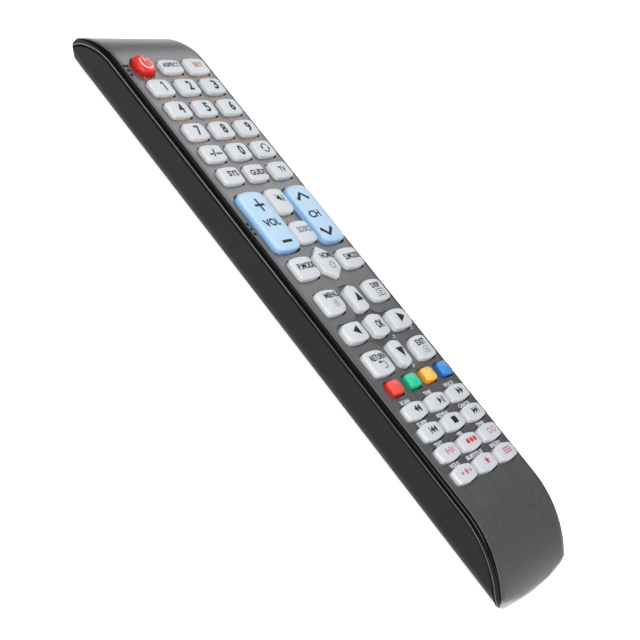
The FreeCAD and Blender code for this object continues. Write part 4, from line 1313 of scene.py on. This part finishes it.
on_key("app_1_key", "icon", join(bar(-2.4, -1.9, 1.0), bar(-1.1, -0.6, 0.55), bar(0.2, 0.7, 1.2), bar(1.5, 2.0, 0.8)), 0.3, 0.1, "ink_red")
on_key("app_2_key", "icon", join(disc(-2.3, 0, 0.95), disc(0.0, 0, 0.95), disc(2.3, 0, 0.95)), 0.4, 0.1, "ink_red")
on_key("app_3_key", "icon", join(band(circle(-1.2, 0, 1.0), 0.3, True), band(circle(1.6, 0, 1.0), 0.3, True)), 0.2, 0.1, "ink_rose")
on_key("app_4_key", "icon", join(poly([(-1.1, 0), (0, 1.25), (1.1, 0), (0, -1.25)]), poly([(-3.3, 0), (-2.6, 0.8), (-1.9, 0), (-2.6, -0.8)]), poly([(1.9, 0), (2.6, 0.8), (3.3, 0), (2.6, -0.8)])), 0.2, 0.1, "ink_rose")
on_key("app_5_key", "icon", star_mark(1.55), 0.1, 0.1, "ink_red")
on_key("app_6_key", "icon", join(bar(-2.6, 2.6, 0.22), shift(bar(-2.6, 2.6, 0.22), 0, 0.85), shift(bar(-2.6, 2.6, 0.22), 0, -0.85)), 0.2, 0.1, "ink_rose")

# words over the lower rows, printed white on the plate
LABELS = [(-51.0, (("SCAN", 5.4, -0.2), ("TIME", 4.6, 0.2), ("MULTI", 6.0, 0.4))), (-59.6, (("SLEEP", 6.0, 0.2), ("REVEAL", 7.6, -0.4), ("CANCEL", 7.6, 0.2))),
          (-67.9, (("TEXT", 5.0, 0.2), ("MIX", 3.4, 0.3), ("TIMER", 5.2, 0.4))), (-76.1, (("HOLD", 5.4, 0.2), ("SUBTITLE", 10.6, -0.8), ("INDEX", 7.2, 0.0)))]
for ly, words in LABELS:
    for ix, (wd, wide, ox) in zip((-1, 0, 1), words):
        mark("label_%s" % wd.lower(), text(wd, w=wide, h=1.5, bold=0.035), (ix * P + ox + 0.6, ly - 0.25), "ink_white", lift=0.02)
# tiny red numerals over the upper rows
for r, ry in enumerate(ROW[:4]):
    for c in range(3):
        mark("small_%d_%d" % (r, c), text("%d" % (101 + r * 3 + c), w=6.6, h=1.45, bold=0.035), ((c - 1) * P + 0.8, ry + 5.35), "ink_dusk", lift=0.02)
mark("small_113", text("113", w=6.0, h=1.5, bold=0.04), (0.3, 23.9), "ink_dusk", lift=0.02)
# raised locating dots
DOTS = [(-22.0, 96.4), (-20.5, 96.4), (-21.5, 94.4), (-21.6, 92.3), (-22.2, 24.9), (-22.2, 22.8), (-22.2, 20.7)]
for i, (dx, dy) in enumerate(DOTS):
    mark("dot_%d" % i, disc(dx, dy, 0.62, 20), (0, 0), "hole", lift=0.10)
for i, (dx, dy) in enumerate([(19.4, -27.4), (6.4, -28.6), (4.6, -40.4)]):
    mark("tick_%d" % i, join(band(circle(dx, dy, 0.75, 200, 400, 12), 0.22), disc(dx + 0.1, dy + 0.2, 0.22, 12)), (0, 0), "ink_white", lift=0.02)


# ---------------------------------------------------------------------------
# floor, light, camera
# ---------------------------------------------------------------------------
def stage_floor():
    me = bpy.data.meshes.new("studio_floor")
    s = 3.0
    me.from_pydata([(-s, -s, -0.0002), (s, -s, -0.0002), (s, s, -0.0002), (-s, s, -0.0002)], [], [(0, 1, 2, 3)])
    o = bpy.data.objects.new("studio_floor", me)
    COL.objects.link(o)
    M = Mat("floor_paper")
    M.link(M.ramp(M.noise(14, 2.0), [(0.3, srgb(250, 250, 250)), (0.7, srgb(253, 253, 253))]), M.b.inputs["Base Color"])
    M.set(rough=0.9, spec=0.05, emit=(1, 1, 1, 1), emit_s=0.9)
    me.materials.append(M.m)


stage_floor()


def area(name, loc, target, size, power, color=(1, 1, 1), size_y=None):
    li = bpy.data.lights.new(name, "AREA")
    li.energy = power
    li.size = size
    if size_y:
        li.shape = "RECTANGLE"
        li.size_y = size_y
    li.color = color
    o = bpy.data.objects.new(name, li)
    o.location = loc
    d = Vector(target) - Vector(loc)
    o.rotation_euler = d.to_track_quat("-Z", "Y").to_euler()
    COL.objects.link(o)
    return o


area("key_light", (-0.105, 0.294, 0.665), (0, 0, 0), 0.434, 1.32)
area("near_panel", (-0.72, -1.15, 0.85), (0, 0, 0), 0.96, 6.4)
area("front_panel", (-0.30, -0.12, 0.36), (0, 0, 0), 0.22, 0.8)
area("back_panel", (0.90, 0.54, 0.57), (0, 0.06, 0), 0.50, 1.7, size_y=0.6)
area("side_panel", (-0.70, -0.20, 0.75), (0, 0, 0), 0.6, 2.2)
w = bpy.data.worlds.new("studio")
bpy.context.scene.world = w
w.use_nodes = True
bg = w.node_tree.nodes["Background"]
bg.inputs["Color"].default_value = (1, 1, 1, 1)
bg.inputs["Strength"].default_value = 0.2

cam_data = bpy.data.cameras.new("camera")
cam = bpy.data.objects.new("camera", cam_data)
COL.objects.link(cam)
cam_data.sensor_width = 36.0
cam_data.sensor_fit = "HORIZONTAL"
F_PX = 1366.225
cam_data.lens = F_PX / 640.0 * 36.0
R = [[0.5532429360012984, -0.5955070531923942, 0.5824891444162493],
     [-0.16095416698076537, -0.7624909433397616, -0.6266588525317169],
     [0.8173224638392066, 0.2529405284309957, -0.5176920698454416]]
pos = Vector((-375.10, -124.30, 241.39)) * MM
rot = Matrix(((R[0][0], -R[1][0], -R[2][0]), (R[0][1], -R[1][1], -R[2][1]), (R[0][2], -R[1][2], -R[2][2])))
cam.matrix_world = Matrix.Translation(pos) @ rot.to_4x4()
cam_data.clip_start = 0.01
cam_data.clip_end = 20.0
bpy.context.scene.camera = cam
bpy.context.scene.view_settings.view_transform = "Standard"
